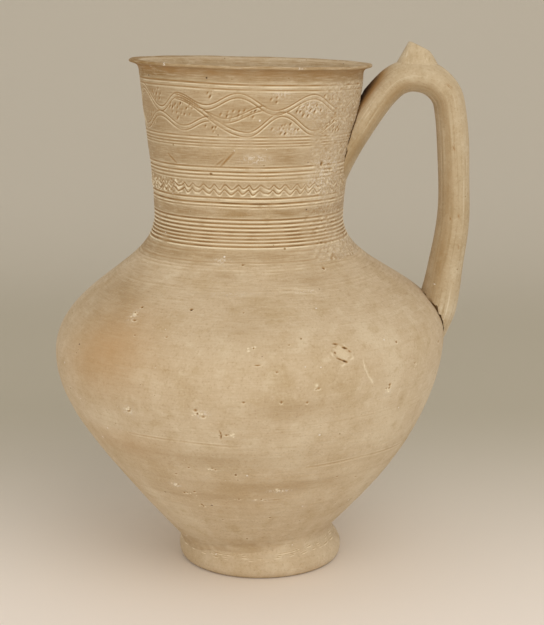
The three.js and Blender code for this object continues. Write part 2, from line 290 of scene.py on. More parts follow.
class Polar(NamedTuple):
    """Places about an upright axis: degrees round it, and radius and level in mm."""

    angle: Array
    radius: Array
    level: Array

    @classmethod
    def of(cls, mesh: Mesh) -> "Polar":
        """Reads the places of a mesh's vertices."""
        flat = np.empty(len(mesh.vertices) * 3)
        mesh.vertices.foreach_get("co", flat)
        x, y, z = flat.reshape(-1, 3).T
        return cls(np.degrees(np.arctan2(x, -y)), np.hypot(x, y), z)

    def points(self) -> Array:
        """The places across, along and up from the axis."""
        turn = np.radians(self.angle)
        return np.stack([self.radius * np.sin(turn), -self.radius * np.cos(turn), self.level], axis=1)


def set_points(mesh: Mesh, points: Array, axis_x: float) -> None:
    """Moves a mesh's vertices to points in mm about an axis, which become places in the frame."""
    mesh.vertices.foreach_set("co", ((points + (axis_x, 0.0, 0.0)) * MM).ravel())
    mesh.update()


def set_tones(mesh: Mesh, tones: dict[Tone, Array]) -> None:
    """Writes tones on a mesh's vertices."""
    for tone, values in tones.items():
        attribute = mesh.attributes.new(tone.value, "FLOAT", "POINT")
        attribute.data.foreach_set("value", np.clip(values, 0.0, 1.0).astype(np.float32))


def make_object(name: str, mesh: Mesh, finish: Material, slot: Slot, nodes: tuple[str, ...]) -> Piece:
    """Makes a piece of the ewer from a placed mesh, and fits it to the frame.

    Args:
        name: The piece's name.
        mesh: Its mesh, in metres in the frame.
        finish: Its material.
        slot: The record's slot that the finish belongs to. Not used.
        nodes: The frame's nodes that the piece stands for.

    Returns:
        The piece.
    """
    mesh.polygons.foreach_set("use_smooth", [True] * len(mesh.polygons))
    mesh.set_sharp_from_angle(angle=SHARP_ANGLE)
    mesh.materials.append(finish)
    piece = bpy.data.objects.new(name, mesh)
    bpy.context.scene.collection.objects.link(piece)
    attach(piece, "root")
    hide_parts(*nodes)
    LOG.info("%s: %d faces for %s", name, len(mesh.polygons), ", ".join(nodes))
    return piece


@dataclass(frozen=True)
class HandWave:
    """Unevenness left by hands: a sum of slow waves round and up the wall, the same on every run."""

    seed: int
    lobes: int
    pitch: float
    waves: int = 16

    def at(self, angle: Array, level: Array) -> Array:
        """Height of the waves at places on the wall, mostly between -1 and 1.

        Args:
            angle: Degrees round the vessel.
            level: Millimetres up the wall.

        Returns:
            The height at each place.
        """
        draw = np.random.default_rng(self.seed)
        total = np.zeros(np.shape(angle))
        for _ in range(self.waves):
            lobes = draw.integers(0, self.lobes + 1)
            rise = draw.uniform(-1.0, 1.0) / self.pitch
            start = draw.uniform(0.0, math.tau)
            total += np.cos(lobes * np.radians(angle) + math.tau * rise * level + start)
        return total / math.sqrt(2 * self.waves)


class Layer(NamedTuple):
    """A colour laid over the clay, from none to its full share as a measure goes between two values."""

    measure: Socket
    none: float
    full: float
    share: float | Socket
    colour: str
    depth: float = 0.0


@dataclass(frozen=True)
class BuffEarthenware:
    """Unglazed buff earthenware, thrown and fired in an open kiln: matt, warm and slightly gritty.

    The eye sees a chalky surface, clouded where the fire touched it, with faint wiping streaks that follow
    the wheel, brown soil in the hollows, painted shade under the lip, in creases and on the handle, rubbed
    pale edges with painted highlights below the drawn lines and pits, and white salts in patches. The real
    grit is a third of a millimetre, too fine to show, so grit, streaks and rasped lines are drawn two to
    four times as coarse. On a drawn strap the streaks follow its length instead of the wheel.
    """

    name: str
    body: str = "#C2AA88"
    pale: str = "#D6C3A3"
    tan: str = "#AC9065"
    brown: str = "#8C6A38"
    # Furrow brown and soil also colour the painted shade under the lip and on the handle beside the neck
    furrow: str = "#9C7748"
    soil: str = "#44290F"
    blush: str = "#B48C5C"
    bloom: str = "#EADFCD"
    # Pale burr and rubbed clay, and also the painted highlight below drawn lines, pits and wave troughs
    ridge: str = "#F0DFBC"
    roughness: float = 0.9
    ior: float = 1.5
    specular_level: float = 0.25
    cloud_mm: float = 30.0
    mottle_mm: float = 8.0
    grit_mm: float = 1.1
    streak_mm: Point = (26.0, 1.4)
    streak_share: float = 0.20
    rasp_mm: Point = (8.0, 0.6)
    drawn: bool = False

    def material(self) -> Material:
        """Builds the clay's shader.

        Returns:
            The material.
        """
        material = new_material(self.name)
        tree = material.node_tree
        if self.drawn:
            place = add_node(tree, "Attribute", {}, attribute_name=DRAWN_PLACE).outputs["Vector"]
        else:
            place = add_node(tree, "TexCoord", {}).outputs["Object"]
        grain = self.grains(tree, place)
        layers = [*self.weathering(grain), *self.piece_tones(tree, grain), *self.drawn_lines(tree),
                  *self.specks(tree, place, grain[Grain.MOTTLE])]
        colour = linear(self.body)
        relief = grain[Grain.GRIT]
        for layer in layers:
            share = add_node(tree, "MapRange", {
                "Value": layer.measure, "From Min": layer.none, "From Max": layer.full,
                "To Max": layer.share}, interpolation_type="SMOOTHSTEP").outputs[0]
            colour = add_node(tree, "Mix", {
                0: share, 6: colour, 7: linear(layer.colour)}, data_type="RGBA").outputs[2]
            if layer.depth:
                relief = add_node(tree, "Math", {
                    0: share, 1: layer.depth, 2: relief}, operation="MULTIPLY_ADD").outputs[0]
        bumps = {}
        for strength, height_mm, height in ((0.6, 0.4, relief),
                                            (0.4, 0.6, grain[Grain.MOTTLE]),
                                            (0.5, 0.4, grain[Grain.STREAK])):
            bumps = {"Normal": add_node(tree, "Bump", {
                "Strength": strength, "Distance": height_mm * MM, "Height": height, **bumps}).outputs[0]}
        shader = add_node(tree, "BsdfPrincipled", {
            "Base Color": colour, "Roughness": self.roughness, "IOR": self.ior,
            "Specular IOR Level": self.specular_level, **bumps})
        add_node(tree, "OutputMaterial", {"Surface": shader.outputs[0]})
        return material

    def grains(self, tree: Tree, place: Socket) -> dict[Grain, Socket]:
        """Adds the noises, each as long and as short as its grain.

        Args:
            tree: The material's nodes.
            place: Where on the piece the colour is wanted.

        Returns:
            The noises.
        """
        noises = {}
        for kind, (long, short), detail in ((Grain.CLOUD, (self.cloud_mm, self.cloud_mm), 4.0),
                                            (Grain.MOTTLE, (self.mottle_mm, self.mottle_mm), 5.0),
                                            (Grain.GRIT, (self.grit_mm, self.grit_mm), 4.0),
                                            (Grain.STREAK, self.streak_mm, 3.0),
                                            (Grain.RASP, self.rasp_mm, 2.0)):
            scale = (1 / long / MM, 1 / long / MM, 1 / short / MM)
            scaled = add_node(tree, "Mapping", {"Vector": place, "Scale": scale}).outputs[0]
            noises[kind] = add_node(tree, "TexNoise", {
                "Vector": scaled, "Scale": 1.0, "Detail": detail, "Roughness": 0.6}).outputs["Fac"]
        return noises

    def weathering(self, grain: dict[Grain, Socket]) -> list[Layer]:
        """Clouds, wiping streaks, mottling and grit, which lie all over the clay."""
        return [Layer(grain[kind], none, full, share, over) for kind, none, full, share, over in (
            (Grain.CLOUD, 0.50, 0.68, 0.36, self.pale),
            (Grain.CLOUD, 0.50, 0.32, 0.36, self.tan),
            (Grain.STREAK, 0.55, 0.72, self.streak_share, self.tan),
            (Grain.STREAK, 0.45, 0.28, self.streak_share, self.pale),
            (Grain.MOTTLE, 0.52, 0.70, 0.36, self.pale),
            (Grain.MOTTLE, 0.48, 0.30, 0.36, self.tan),
            (Grain.GRIT, 0.54, 0.70, 0.28, self.brown),
            (Grain.GRIT, 0.46, 0.30, 0.30, self.pale))]

    def piece_tones(self, tree: Tree, grain: dict[Grain, Socket]) -> list[Layer]:
        """The tones that a piece carries, each broken up by a grain.

        Args:
            tree: The material's nodes.
            grain: The noises.

        Returns:
            The tones' layers.
        """
        layers = []
        for tone, least, most, kind, none, full, over in (
                (Tone.BLUSH, 0.0, 1.0, Grain.MOTTLE, 0.00, 0.40, self.blush),
                # Stains, and painted shade at the foot's edge, in the crease, under the lip, in the mouth
                # and down the handle's flanks
                (Tone.STAIN, 0.0, 1.0, Grain.MOTTLE, 0.15, 0.50, self.brown),
                (Tone.RASP, 0.0, 1.0, Grain.RASP, 0.52, 0.66, self.brown),
                (Tone.RASP, 0.0, 1.0, Grain.RASP, 0.48, 0.34, self.pale),
                (Tone.BLOOM, 0.0, 1.0, Grain.GRIT, 0.49, 0.56, self.bloom),
                # Pale burr and rubbed clay, with painted highlights below lines, pits and wave troughs
                (Tone.RIDGE, 0.0, 1.0, Grain.MOTTLE, 0.20, 0.50, self.ridge),
                # Soil in hollows and painted shade: up to half as furrow brown, beyond that as soil
                (Tone.HOLLOW, 0.0, 0.5, Grain.GRIT, 0.10, 0.40, self.furrow),
                (Tone.HOLLOW, 0.5, 1.0, Grain.GRIT, 0.10, 0.40, self.soil)):
            mark = add_node(tree, "Attribute", {}, attribute_name=tone.value).outputs["Fac"]
            share = add_node(tree, "MapRange", {
                "Value": mark, "From Min": least, "From Max": most}).outputs[0]
            layers.append(Layer(grain[kind], none, full, share, over))
        return layers

    def drawn_lines(self, tree: Tree) -> list[Layer]:
        """The painted highlight below each fine drawn line, as if lit from above, and the brown in its
        furrow, crisper than the mesh.

        Args:
            tree: The material's nodes.

        Returns:
            The two layers.
        """
        gap, cut = (add_node(tree, "Attribute", {}, attribute_name=tone.value).outputs["Fac"]
                    for tone in (Tone.GAP, Tone.CUT))
        off_line = add_node(tree, "Math", {0: gap, 1: 0.5}, operation="SUBTRACT").outputs[0]
        beside = add_node(tree, "Math", {0: off_line}, operation="ABSOLUTE").outputs[0]
        layers = []
        # The pale line just below each drawn line is a painted highlight; the brown lies in the furrow
        for measure, none, full, most, over in ((gap, 0.37, 0.29, 0.6, self.ridge),
                                                (beside, 0.17, 0.07, 0.9, self.furrow)):
            share = add_node(tree, "Math", {0: cut, 1: most}, operation="MULTIPLY").outputs[0]
            layers.append(Layer(measure, none, full, share, over))
        return layers

    def specks(self, tree: Tree, place: Socket, mottle: Socket) -> list[Layer]:
        """Pits and crumbs of lime too small to model: dark ones sink, and pale ones stand out.

        Args:
            tree: The material's nodes.
            place: Where on the piece the colour is wanted.
            mottle: The noise that gathers the finer specks in clusters.

        Returns:
            A layer for each kind of speck.
        """
        layers = []
        for spacing, size, share, depth, none, full, over in (
                (14.0, 0.045, 0.8, -2.0, -1.0, 0.0, self.soil),
                (3.0, 0.22, 0.8, -1.0, 0.55, 0.66, self.brown),
                (11.0, 0.06, 0.7, 0.6, -1.0, 0.0, self.bloom),
                (3.4, 0.20, 0.7, 0.6, 0.44, 0.33, self.bloom)):
            cells = add_node(tree, "TexVoronoi", {
                "Vector": place, "Scale": 1 / spacing / MM}, feature="F1")
            gathered = add_node(tree, "MapRange", {
                "Value": mottle, "From Min": none, "From Max": full,
                "To Max": size}, interpolation_type="SMOOTHSTEP").outputs[0]
            reach = add_node(tree, "MapRange", {
                "Value": cells.outputs["Color"], "From Min": 0.48, "From Max": 0.75,
                "To Max": gathered}).outputs[0]
            inside = add_node(tree, "Math", {
                0: reach, 1: cells.outputs["Distance"]}, operation="SUBTRACT").outputs[0]
            layers.append(Layer(inside, 0.0, 0.02, share, over, depth))
        return layers


@dataclass(frozen=True)
class VesselForm:
    """The outer face of the vessel: a turned curve that the soft clay let lean a little. Millimetres.

    A drift moves the clay at a level towards the handle, and a tilt in degrees lifts its handle's side.
    """

    axis_x: float
    base_lift: float = 13.0
    base_radius: float = 40.0
    bowl_spread: float = 16.9
    bowl_rise: float = 19.9
    bowl_height: float = 113.0
    belly_radius: float = 108.0
    belly_below: float = 43.2
    belly_above: float = 34.4
    shoulder_height: float = 70.0
    waist_radius: float = 52.0
    waist_below: float = 29.0
    waist_above: float = 22.0
    neck_height: float = 75.0
    neck_top_radius: float = 60.6
    neck_top_spread: float = 2.6
    neck_top_run: float = 24.0
    lip_height: float = 8.5
    lip_overhang: float = 5.1
    lip_edge: float = 1.7
    belly_seam_drop: float = 29.0
    neck_seam_drop: float = 18.7
    body_wall: float = 6.0
    neck_wall: float = 5.0
    floor_thickness: float = 8.0
    bowl_drift: float = 0.6
    belly_drift: float = -1.0
    waist_drift: float = -1.3
    low_neck_drift: float = -0.8
    rim_drift: float = -0.3
    belly_tilt: float = 2.4
    waist_tilt: float = -0.3
    neck_top_tilt: float = -1.6
    rim_tilt: float = -1.4
    curve_steps: int = 400

    @property
    def belly(self) -> float:
        """Level of the widest place."""
        return self.base_lift + self.bowl_height

    @property
    def waist(self) -> float:
        """Level of the narrowest place of the neck."""
        return self.belly + self.shoulder_height

    @property
    def neck_top(self) -> float:
        """Level at which the neck turns out into the lip."""
        return self.waist + self.neck_height

    @property
    def rim(self) -> float:
        """Level of the lip's top."""
        return self.neck_top + self.lip_height

    @property
    def lip_radius(self) -> float:
        """Radius of the lip's edge."""
        return self.neck_top_radius + self.lip_overhang

    @property
    def belly_seam(self) -> float:
        """Level of the seam between bowl and shoulder."""
        return self.belly - self.belly_seam_drop

    @property
    def neck_seam(self) -> float:
        """Level of the seam between shoulder and neck."""
        return self.waist - self.neck_seam_drop

    @cached_property
    def curve(self) -> Array:
        """Radius and level of closely spaced points up the outer face."""
        base = (self.base_radius, self.base_lift)
        belly = (self.belly_radius, self.belly)
        waist = (self.waist_radius, self.waist)
        top = (self.neck_top_radius, self.neck_top)
        bowl = bezier(base, (base[0] + self.bowl_spread, base[1] + self.bowl_rise),
                      (belly[0], belly[1] - self.belly_below), belly, self.curve_steps)
        shoulder = bezier(belly, (belly[0], belly[1] + self.belly_above),
                          (waist[0], waist[1] - self.waist_below), waist, self.curve_steps)
        neck = bezier(waist, (waist[0], waist[1] + self.waist_above),
                      (top[0] - self.neck_top_spread, top[1] - self.neck_top_run), top, self.curve_steps)
        return np.concatenate([bowl, shoulder[1:], neck[1:]])

    @cached_property
    def leaning(self) -> Array:
        """Level, drift and tilt, from the base to the rim."""
        return np.array([
            (self.base_lift, 0.0, 0.0),
            (self.base_lift + self.bowl_height / 3, self.bowl_drift, 0.0),
            (self.belly, self.belly_drift, self.belly_tilt),
            (self.waist, self.waist_drift, self.waist_tilt),
            (self.waist + self.neck_height * 0.4, self.low_neck_drift, self.waist_tilt),
            (self.neck_top, 0.0, self.neck_top_tilt),
            (self.rim, self.rim_drift, self.rim_tilt),
        ])

    def radius(self, level: Array) -> Array:
        """Radius of the outer face at levels."""
        return np.interp(level, self.curve[:, 1], self.curve[:, 0])

    def facing(self, level: Array) -> tuple[Array, Array]:
        """The way the outer face looks at levels.

        Args:
            level: Millimetres up.

        Returns:
            The outward and the upward share of the face's normal.
        """
        slope = np.gradient(self.curve[:, 0], self.curve[:, 1])
        lean = np.interp(level, self.curve[:, 1], slope)
        out = 1.0 / np.sqrt(1.0 + lean ** 2)
        return out, -lean * out

    def lean(self, level: Array) -> tuple[Array, Array]:
        """Drift in mm and the slope of the tilt at levels."""
        table = self.leaning
        level = np.clip(level, table[0, 0], table[-1, 0])
        i = np.clip(np.searchsorted(table[:, 0], level, side="right"), 1, len(table) - 1)
        t = smoothstep(level, table[i - 1, 0], table[i, 0])
        drift, tilt = (table[i - 1, k] + (table[i, k] - table[i - 1, k]) * t for k in (1, 2))
        return drift, np.tan(np.radians(tilt))

    def leaned(self, upright: Array) -> Array:
        """Leans points that stand upright about the axis."""
        x, y, z = upright.T
        drift, tilt = self.lean(z)
        return np.stack([x + drift, y, z + x * tilt], axis=1)

    def clearance(self, points: Array) -> Array:
        """Distance of points outside the leaned outer face, negative inside it."""
        level = points[:, 2]
        for _ in range(3):
            drift, tilt = self.lean(level)
            across = points[:, 0] - drift
            level = points[:, 2] - across * tilt
        out, _ = self.facing(level)
        return (np.hypot(across, points[:, 1]) - self.radius(level)) * out

    def rows(self, low: float, high: float, spacing: float) -> list[Point]:
        """Points up the outer face between two levels, at about an even spacing, with both ends."""
        part = self.curve[(self.curve[:, 1] > low) & (self.curve[:, 1] < high)]
        first, last = ((float(self.radius(level)), level) for level in (low, high))
        part = np.concatenate([[first], part, [last]])
        run = run_along(part)
        stops = np.linspace(0.0, run[-1], max(2, round(run[-1] / spacing)) + 1)
        levels = np.interp(stops, run, part[:, 1])
        return [(float(self.radius(level)), float(level)) for level in levels]

    def inner_rows(self, low: float, high: float, wall: float, spacing: float) -> list[Point]:
        """Points down the inside of the wall between two levels of the outer face."""
        inside = []
        for radius, level in reversed(self.rows(low, high, spacing)):
            out, up = self.facing(np.array(level))
            inside.append((radius - float(out) * wall, level - float(up) * wall))
        return inside


class Trace(NamedTuple):
    """What a mark does at places on the surface: height in mm, and shares of soil and of pale burr."""

    height: Array
    soil: Array
    burr: Array

    def faded(self, share: Array) -> "Trace":
        """The same mark, weakened by a share at each place."""
        return Trace(self.height * share, self.soil * share, self.burr * share)


class Stroke(NamedTuple):
    """A line drawn in soft clay: its furrow's width and depth in mm, its soil and its burr's paleness."""

    width: float
    depth: float
    soil: float
    burr: float

    def cut(self, gap: Array) -> Trace:
        """Section of the line: a furrow with a pale burr on either side, and a painted highlight that adds
        more pale below.

        Args:
            gap: Distance above the middle of the line.

        Returns:
            The line's trace.
        """
        furrow = hump(gap, 0.0, 0.45 * self.width)
        # The extra pale below the line is a painted highlight, as if lit from above
        edge = hump(np.abs(gap), 0.9 * self.width, 0.36 * self.width) * np.where(gap < 0, 1.0, 0.45)
        return Trace(self.depth * (0.5 * edge - furrow), self.soil * furrow, self.burr * edge)


@dataclass(frozen=True)
class Spot:
    """A mark about one place on the wall, with its width round the wall, height up it and depth in mm."""

    angle: float
    level: float
    width: float
    height: float
    depth: float

    def section(self, along: Array, up: Array) -> Trace:
        """Shape of the mark from the distances round and up the wall."""
        raise NotImplementedError

    def trace(self, angle: Array, level: Array, form: VesselForm) -> Trace:
        """Shape of the mark at places on the wall.

        Args:
            angle: Degrees round the vessel.
            level: Millimetres up.
            form: The wall.

        Returns:
            The mark's trace.
        """
        along = np.radians(half_turn(angle - self.angle)) * form.radius(level)
        out, _ = form.facing(level)
        return self.section(along, (level - self.level) / out)

    def reach(self, form: VesselForm) -> float:
        """How far round its middle the mark changes the wall."""
        return 1.3 * max(self.width, self.height) + 1.2


@dataclass(frozen=True)
class Pit(Spot):
    """A pit in the clay, or with a negative depth a grain that stands out of it."""

    soil: float = 1.0

    def section(self, along: Array, up: Array) -> Trace:
        """Shape of the pit from the distances round and up the wall."""
        reach = np.hypot(along / self.width, up / self.height) * 1.5
        fall = hump(reach, 0.0, 1.0)
        edge = hump(reach, 1.6, 0.5)
        # A pit's pale rim lies below it as a painted highlight; a grain that stands out is pale all over
        burr = 0.6 * edge * smoothstep(-up, -0.4, 0.6) if self.depth > 0 else 0.9 * fall
        return Trace(self.depth * (0.15 * edge - fall), self.soil * fall, burr)


def crumbs(seed: int, angle: float, level: float, wide: float, tall: float, count: int) -> tuple[Pit, ...]:
    """A cluster of lime crumbs in the clay, with the pits that others left.

    Args:
        seed: Seed of the cluster's own random draws.
        angle: Angle of its middle.
        level: Level of its middle.
        wide: Spread in degrees.
        tall: Spread in mm.
        count: Crumbs and pits in all.

    Returns:
        The crumbs and pits.
    """
    draw = np.random.default_rng(seed)
    cluster = []
    for k in range(count):
        turn, rise = draw.normal(0.0, 0.7, 2)
        size = draw.uniform(0.45, 0.9)
        depth, soil = (0.35, 0.7) if k % 3 == 2 else (-0.3, 0.0)
        cluster.append(Pit(angle + wide * turn, level + tall * rise, size, size, depth, soil))
    return tuple(cluster)


@dataclass(frozen=True)
class Spall(Spot):
    """A flake that sprang off in the fire: a shallow, slightly paler scar with a ragged edge."""

    tilt: float

    def section(self, along: Array, up: Array) -> Trace:
        """Shape of the scar from the distances round and up the wall."""
        tilt = math.radians(self.tilt)
        long = along * math.cos(tilt) + up * math.sin(tilt)
        short = up * math.cos(tilt) - along * math.sin(tilt)
        turn = np.arctan2(short / self.height, long / self.width)
        waves = ((0.10, 4, 0.6), (0.05, 7, 1.0), (0.03, 13, 0.0))
        ragged = 1 + sum(size * np.cos(lobes * turn + start) for size, lobes, start in waves)
        reach = np.hypot(long / self.width, short / self.height) * ragged
        floor = 1.0 - smoothstep(reach, 0.75, 1.0)
        burr = 0.5 * hump(reach, 1.15, 0.12) * np.clip(np.cos(5 * turn + 0.8), 0.0, 1.0)
        return Trace(-self.depth * floor, 0.10 * hump(reach, 0.95, 0.10), burr + 0.22 * floor)


@dataclass(frozen=True)
class Scratch:
    """A straight score between two places, with soil in its furrow or with pale clay bared."""

    start: Point
    end: Point
    width: float
    depth: float
    soil: float = 0.5
    burr: float = 0.3
    bared: float = 0.0

    @property
    def angle(self) -> float:
        """Angle of its middle."""
        return (self.start[0] + self.end[0]) / 2

    @property
    def level(self) -> float:
        """Level of its middle."""
        return (self.start[1] + self.end[1]) / 2

    def trace(self, angle: Array, level: Array, form: VesselForm) -> Trace:
        """Shape of the score at places on the wall.

        Args:
            angle: Degrees round the vessel.
            level: Millimetres up.
            form: The wall.

        Returns:
            The score's trace.
        """
        radius = form.radius(level)
        run = np.radians(self.end[0] - self.start[0]) * radius
        rise = self.end[1] - self.start[1]
        along = np.radians(angle - self.start[0]) * radius
        up = level - self.start[1]
        share = np.clip((along * run + up * rise) / (run ** 2 + rise ** 2), 0.0, 1.0)
        gap = np.hypot(along - share * run, up - share * rise)
        fade = 0.35 + 0.65 * np.sin(math.pi * np.clip(share, 0.08, 0.92))
        line = Stroke(2 * self.width, self.depth, self.soil, self.burr).cut(gap)
        bared = self.bared * hump(gap, 0.0, self.width)
        return line._replace(burr=np.maximum(line.burr, bared)).faded(fade)

    def reach(self, form: VesselForm) -> float:
        """How far round its middle the score changes the wall."""
        run = math.radians(self.end[0] - self.start[0]) * float(form.radius(self.level))
        return math.hypot(run, self.end[1] - self.start[1]) / 2 + 1.5


@dataclass(frozen=True)
class Patch:
    """A soft patch of colour on the wall, its width in degrees and its height in mm."""

    angle: float
    level: float
    width: float
    height: float
    strength: float

    def at(self, angle: Array, level: Array) -> Array:
        """Strength of the patch at places on the wall."""
        turn = half_turn(angle - self.angle) / self.width
        return self.strength * np.exp(-(turn ** 2 + ((level - self.level) / self.height) ** 2))


def wave_through(turns: list[Point], angle: Array) -> tuple[Array, Array]:
    """A hand-drawn wave that passes through its crests and troughs.

    Args:
        turns: Angle in degrees and level of each crest and trough, in order of angle.
        angle: Where the wave is wanted.

    Returns:
        The wave's level, and its slope in mm for each degree.
    """
    at = np.array(turns)
    i = np.clip(np.searchsorted(at[:, 0], angle), 1, len(at) - 1)
    run, rise = (at[i, k] - at[i - 1, k] for k in (0, 1))
    t = np.clip((angle - at[i - 1, 0]) / run, 0.0, 1.0)
    level = at[i - 1, 1] + rise * (0.5 - 0.5 * np.cos(math.pi * t))
    return level, rise * 0.5 * math.pi / run * np.sin(math.pi * t)


@dataclass
class Relief:
    """Height of the surface over the smooth form, and the tones that go with it."""

    height: Array
    tones: dict[Tone, Array]

    @classmethod
    def flat(cls, count: int) -> "Relief":
        """A smooth surface with no tones."""
        return cls(np.zeros(count), {tone: np.zeros(count) for tone in Tone})

    def draw(self, gap: Array, strength: Array) -> None:
        """Draws a fine line where it is nearer than the lines before it.

        Args:
            gap: Distance above the middle of the line, in mm.
            strength: How strongly the line shows, from 0 to 1.
        """
        place = np.clip(0.5 + 0.5 * gap, 0.0, 1.0)
        near = strength * (1.0 - smoothstep(np.abs(gap), 0.45, 0.75))
        nearer = near > self.tones[Tone.CUT]
        self.tones[Tone.GAP] = np.where(nearer, place, self.tones[Tone.GAP])
        self.tones[Tone.CUT] = np.where(nearer, near, self.tones[Tone.CUT])

    def add(self, trace: Trace, near: slice | Array = slice(None)) -> None:
        """Adds a mark to the whole surface, or to the places near the mark."""
        self.height[near] += trace.height
        for tone, values in ((Tone.HOLLOW, trace.soil), (Tone.RIDGE, trace.burr)):
            self.tones[tone][near] = np.maximum(self.tones[tone][near], values)


@dataclass
class TurnedPiece:
    """A thrown piece: a closed profile spun round the axis, marked by hands and tools, then leaned."""

    form: VesselForm
    finish: Material
    sides: int = 288
    row_spacing: float = 0.75
    inner_spacing: float = 6.0
    mark_cuts: int = 3
    lump_height: float = 0.28
    rib_height: float = 0.045
    wipe_height: float = 0.03
    rasp: float = 0.0

    name: ClassVar[str] = ""
    nodes: ClassVar[tuple[str, ...]] = ()
    marks: ClassVar[tuple[Spot | Scratch, ...]] = ()
    patches: ClassVar[dict[Tone, tuple[Patch, ...]]] = {}

    LUMPS: ClassVar[HandWave] = HandWave(seed=11, lobes=4, pitch=95.0)
    RIBS: ClassVar[HandWave] = HandWave(seed=12, lobes=1, pitch=8.0)
    WIPES: ClassVar[HandWave] = HandWave(seed=14, lobes=9, pitch=5.0)
    BREAKUP: ClassVar[HandWave] = HandWave(seed=15, lobes=40, pitch=14.0, waves=28)
    BLOTCHES: ClassVar[HandWave] = HandWave(seed=16, lobes=16, pitch=14.0, waves=28)

    def profile(self) -> list[Point]:
        """Radius and level of the piece's closed outline."""
        raise NotImplementedError

    def tooling(self, relief: Relief, angle: Array, level: Array) -> None:
        """Adds the piece's own tool marks."""
        raise NotImplementedError

    def shape_rim(self, at: Polar, tones: dict[Tone, Array]) -> Polar:
        """Returns the places as they are where the piece has no rim."""
        return at

    def refine(self, bm: Shape) -> None:
        """Splits the faces near each mark, so that it has enough points to be modelled."""
        faces = list(bm.faces)
        tree = KDTree(len(faces))
        for index, face in enumerate(faces):
            tree.insert(face.calc_center_median(), index)
        tree.balance()
        edges = {}
        for mark in self.marks:
            radius = float(self.form.radius(mark.level))
            turn = math.radians(mark.angle)
            centre = Vector((radius * math.sin(turn), -radius * math.cos(turn), mark.level))
            for _, index, _ in tree.find_range(centre, mark.reach(self.form)):
                edges.update(dict.fromkeys(faces[index].edges))
        bmesh.ops.subdivide_edges(bm, edges=list(edges), cuts=self.mark_cuts, use_grid_fill=True)

    def relief(self, angle: Array, level: Array) -> Relief:
        """Everything that lifts, cuts or colours the outer face.

        Args:
            angle: Degrees round the vessel.
            level: Millimetres up.

        Returns:
            The height and tones at each place.
        """
        relief = Relief.flat(len(angle))
        for wave, height in ((self.LUMPS, self.lump_height), (self.RIBS, self.rib_height),
                             (self.WIPES, self.wipe_height)):
            relief.height += height * wave.at(angle, level)
        relief.tones[Tone.RASP] += self.rasp
        self.tooling(relief, angle, level)
        for mark in self.marks:
            relief.add(mark.trace(angle, level, self.form))
        # Blotches break up every patch but the fire's even blush
        broken = 0.72 + 0.4 * self.BLOTCHES.at(angle, level)
        for tone, patches in self.patches.items():
            share = 1.0 if tone is Tone.BLUSH else broken
            for patch in patches:
                relief.tones[tone] += patch.at(angle, level) * share
        return relief

    def build(self) -> Piece:
        """Builds, marks, leans and dresses the piece.

        Returns:
            The piece.
        """
        form = self.form
        bm = spun(self.profile(), self.sides)
        self.refine(bm)
        mesh = mesh_from(bm, self.name)
        at = Polar.of(mesh)
        face = form.radius(at.level)
        on_face = (at.radius > face - FACE_SLACK) & (at.level < form.neck_top + 0.01)
        relief = self.relief(at.angle, at.level)
        out, up = form.facing(at.level)
        tones = {tone: values * on_face for tone, values in relief.tones.items()}
        rim = self.shape_rim(at, tones)
        marked = Polar(at.angle,
                       np.where(on_face, face + relief.height * out, rim.radius),
                       np.where(on_face, at.level + relief.height * up, rim.level))
        set_points(mesh, form.leaned(marked.points()), form.axis_x)
        set_tones(mesh, tones)
        return make_object(self.name, mesh, self.finish, Slot.CLAY, self.nodes)


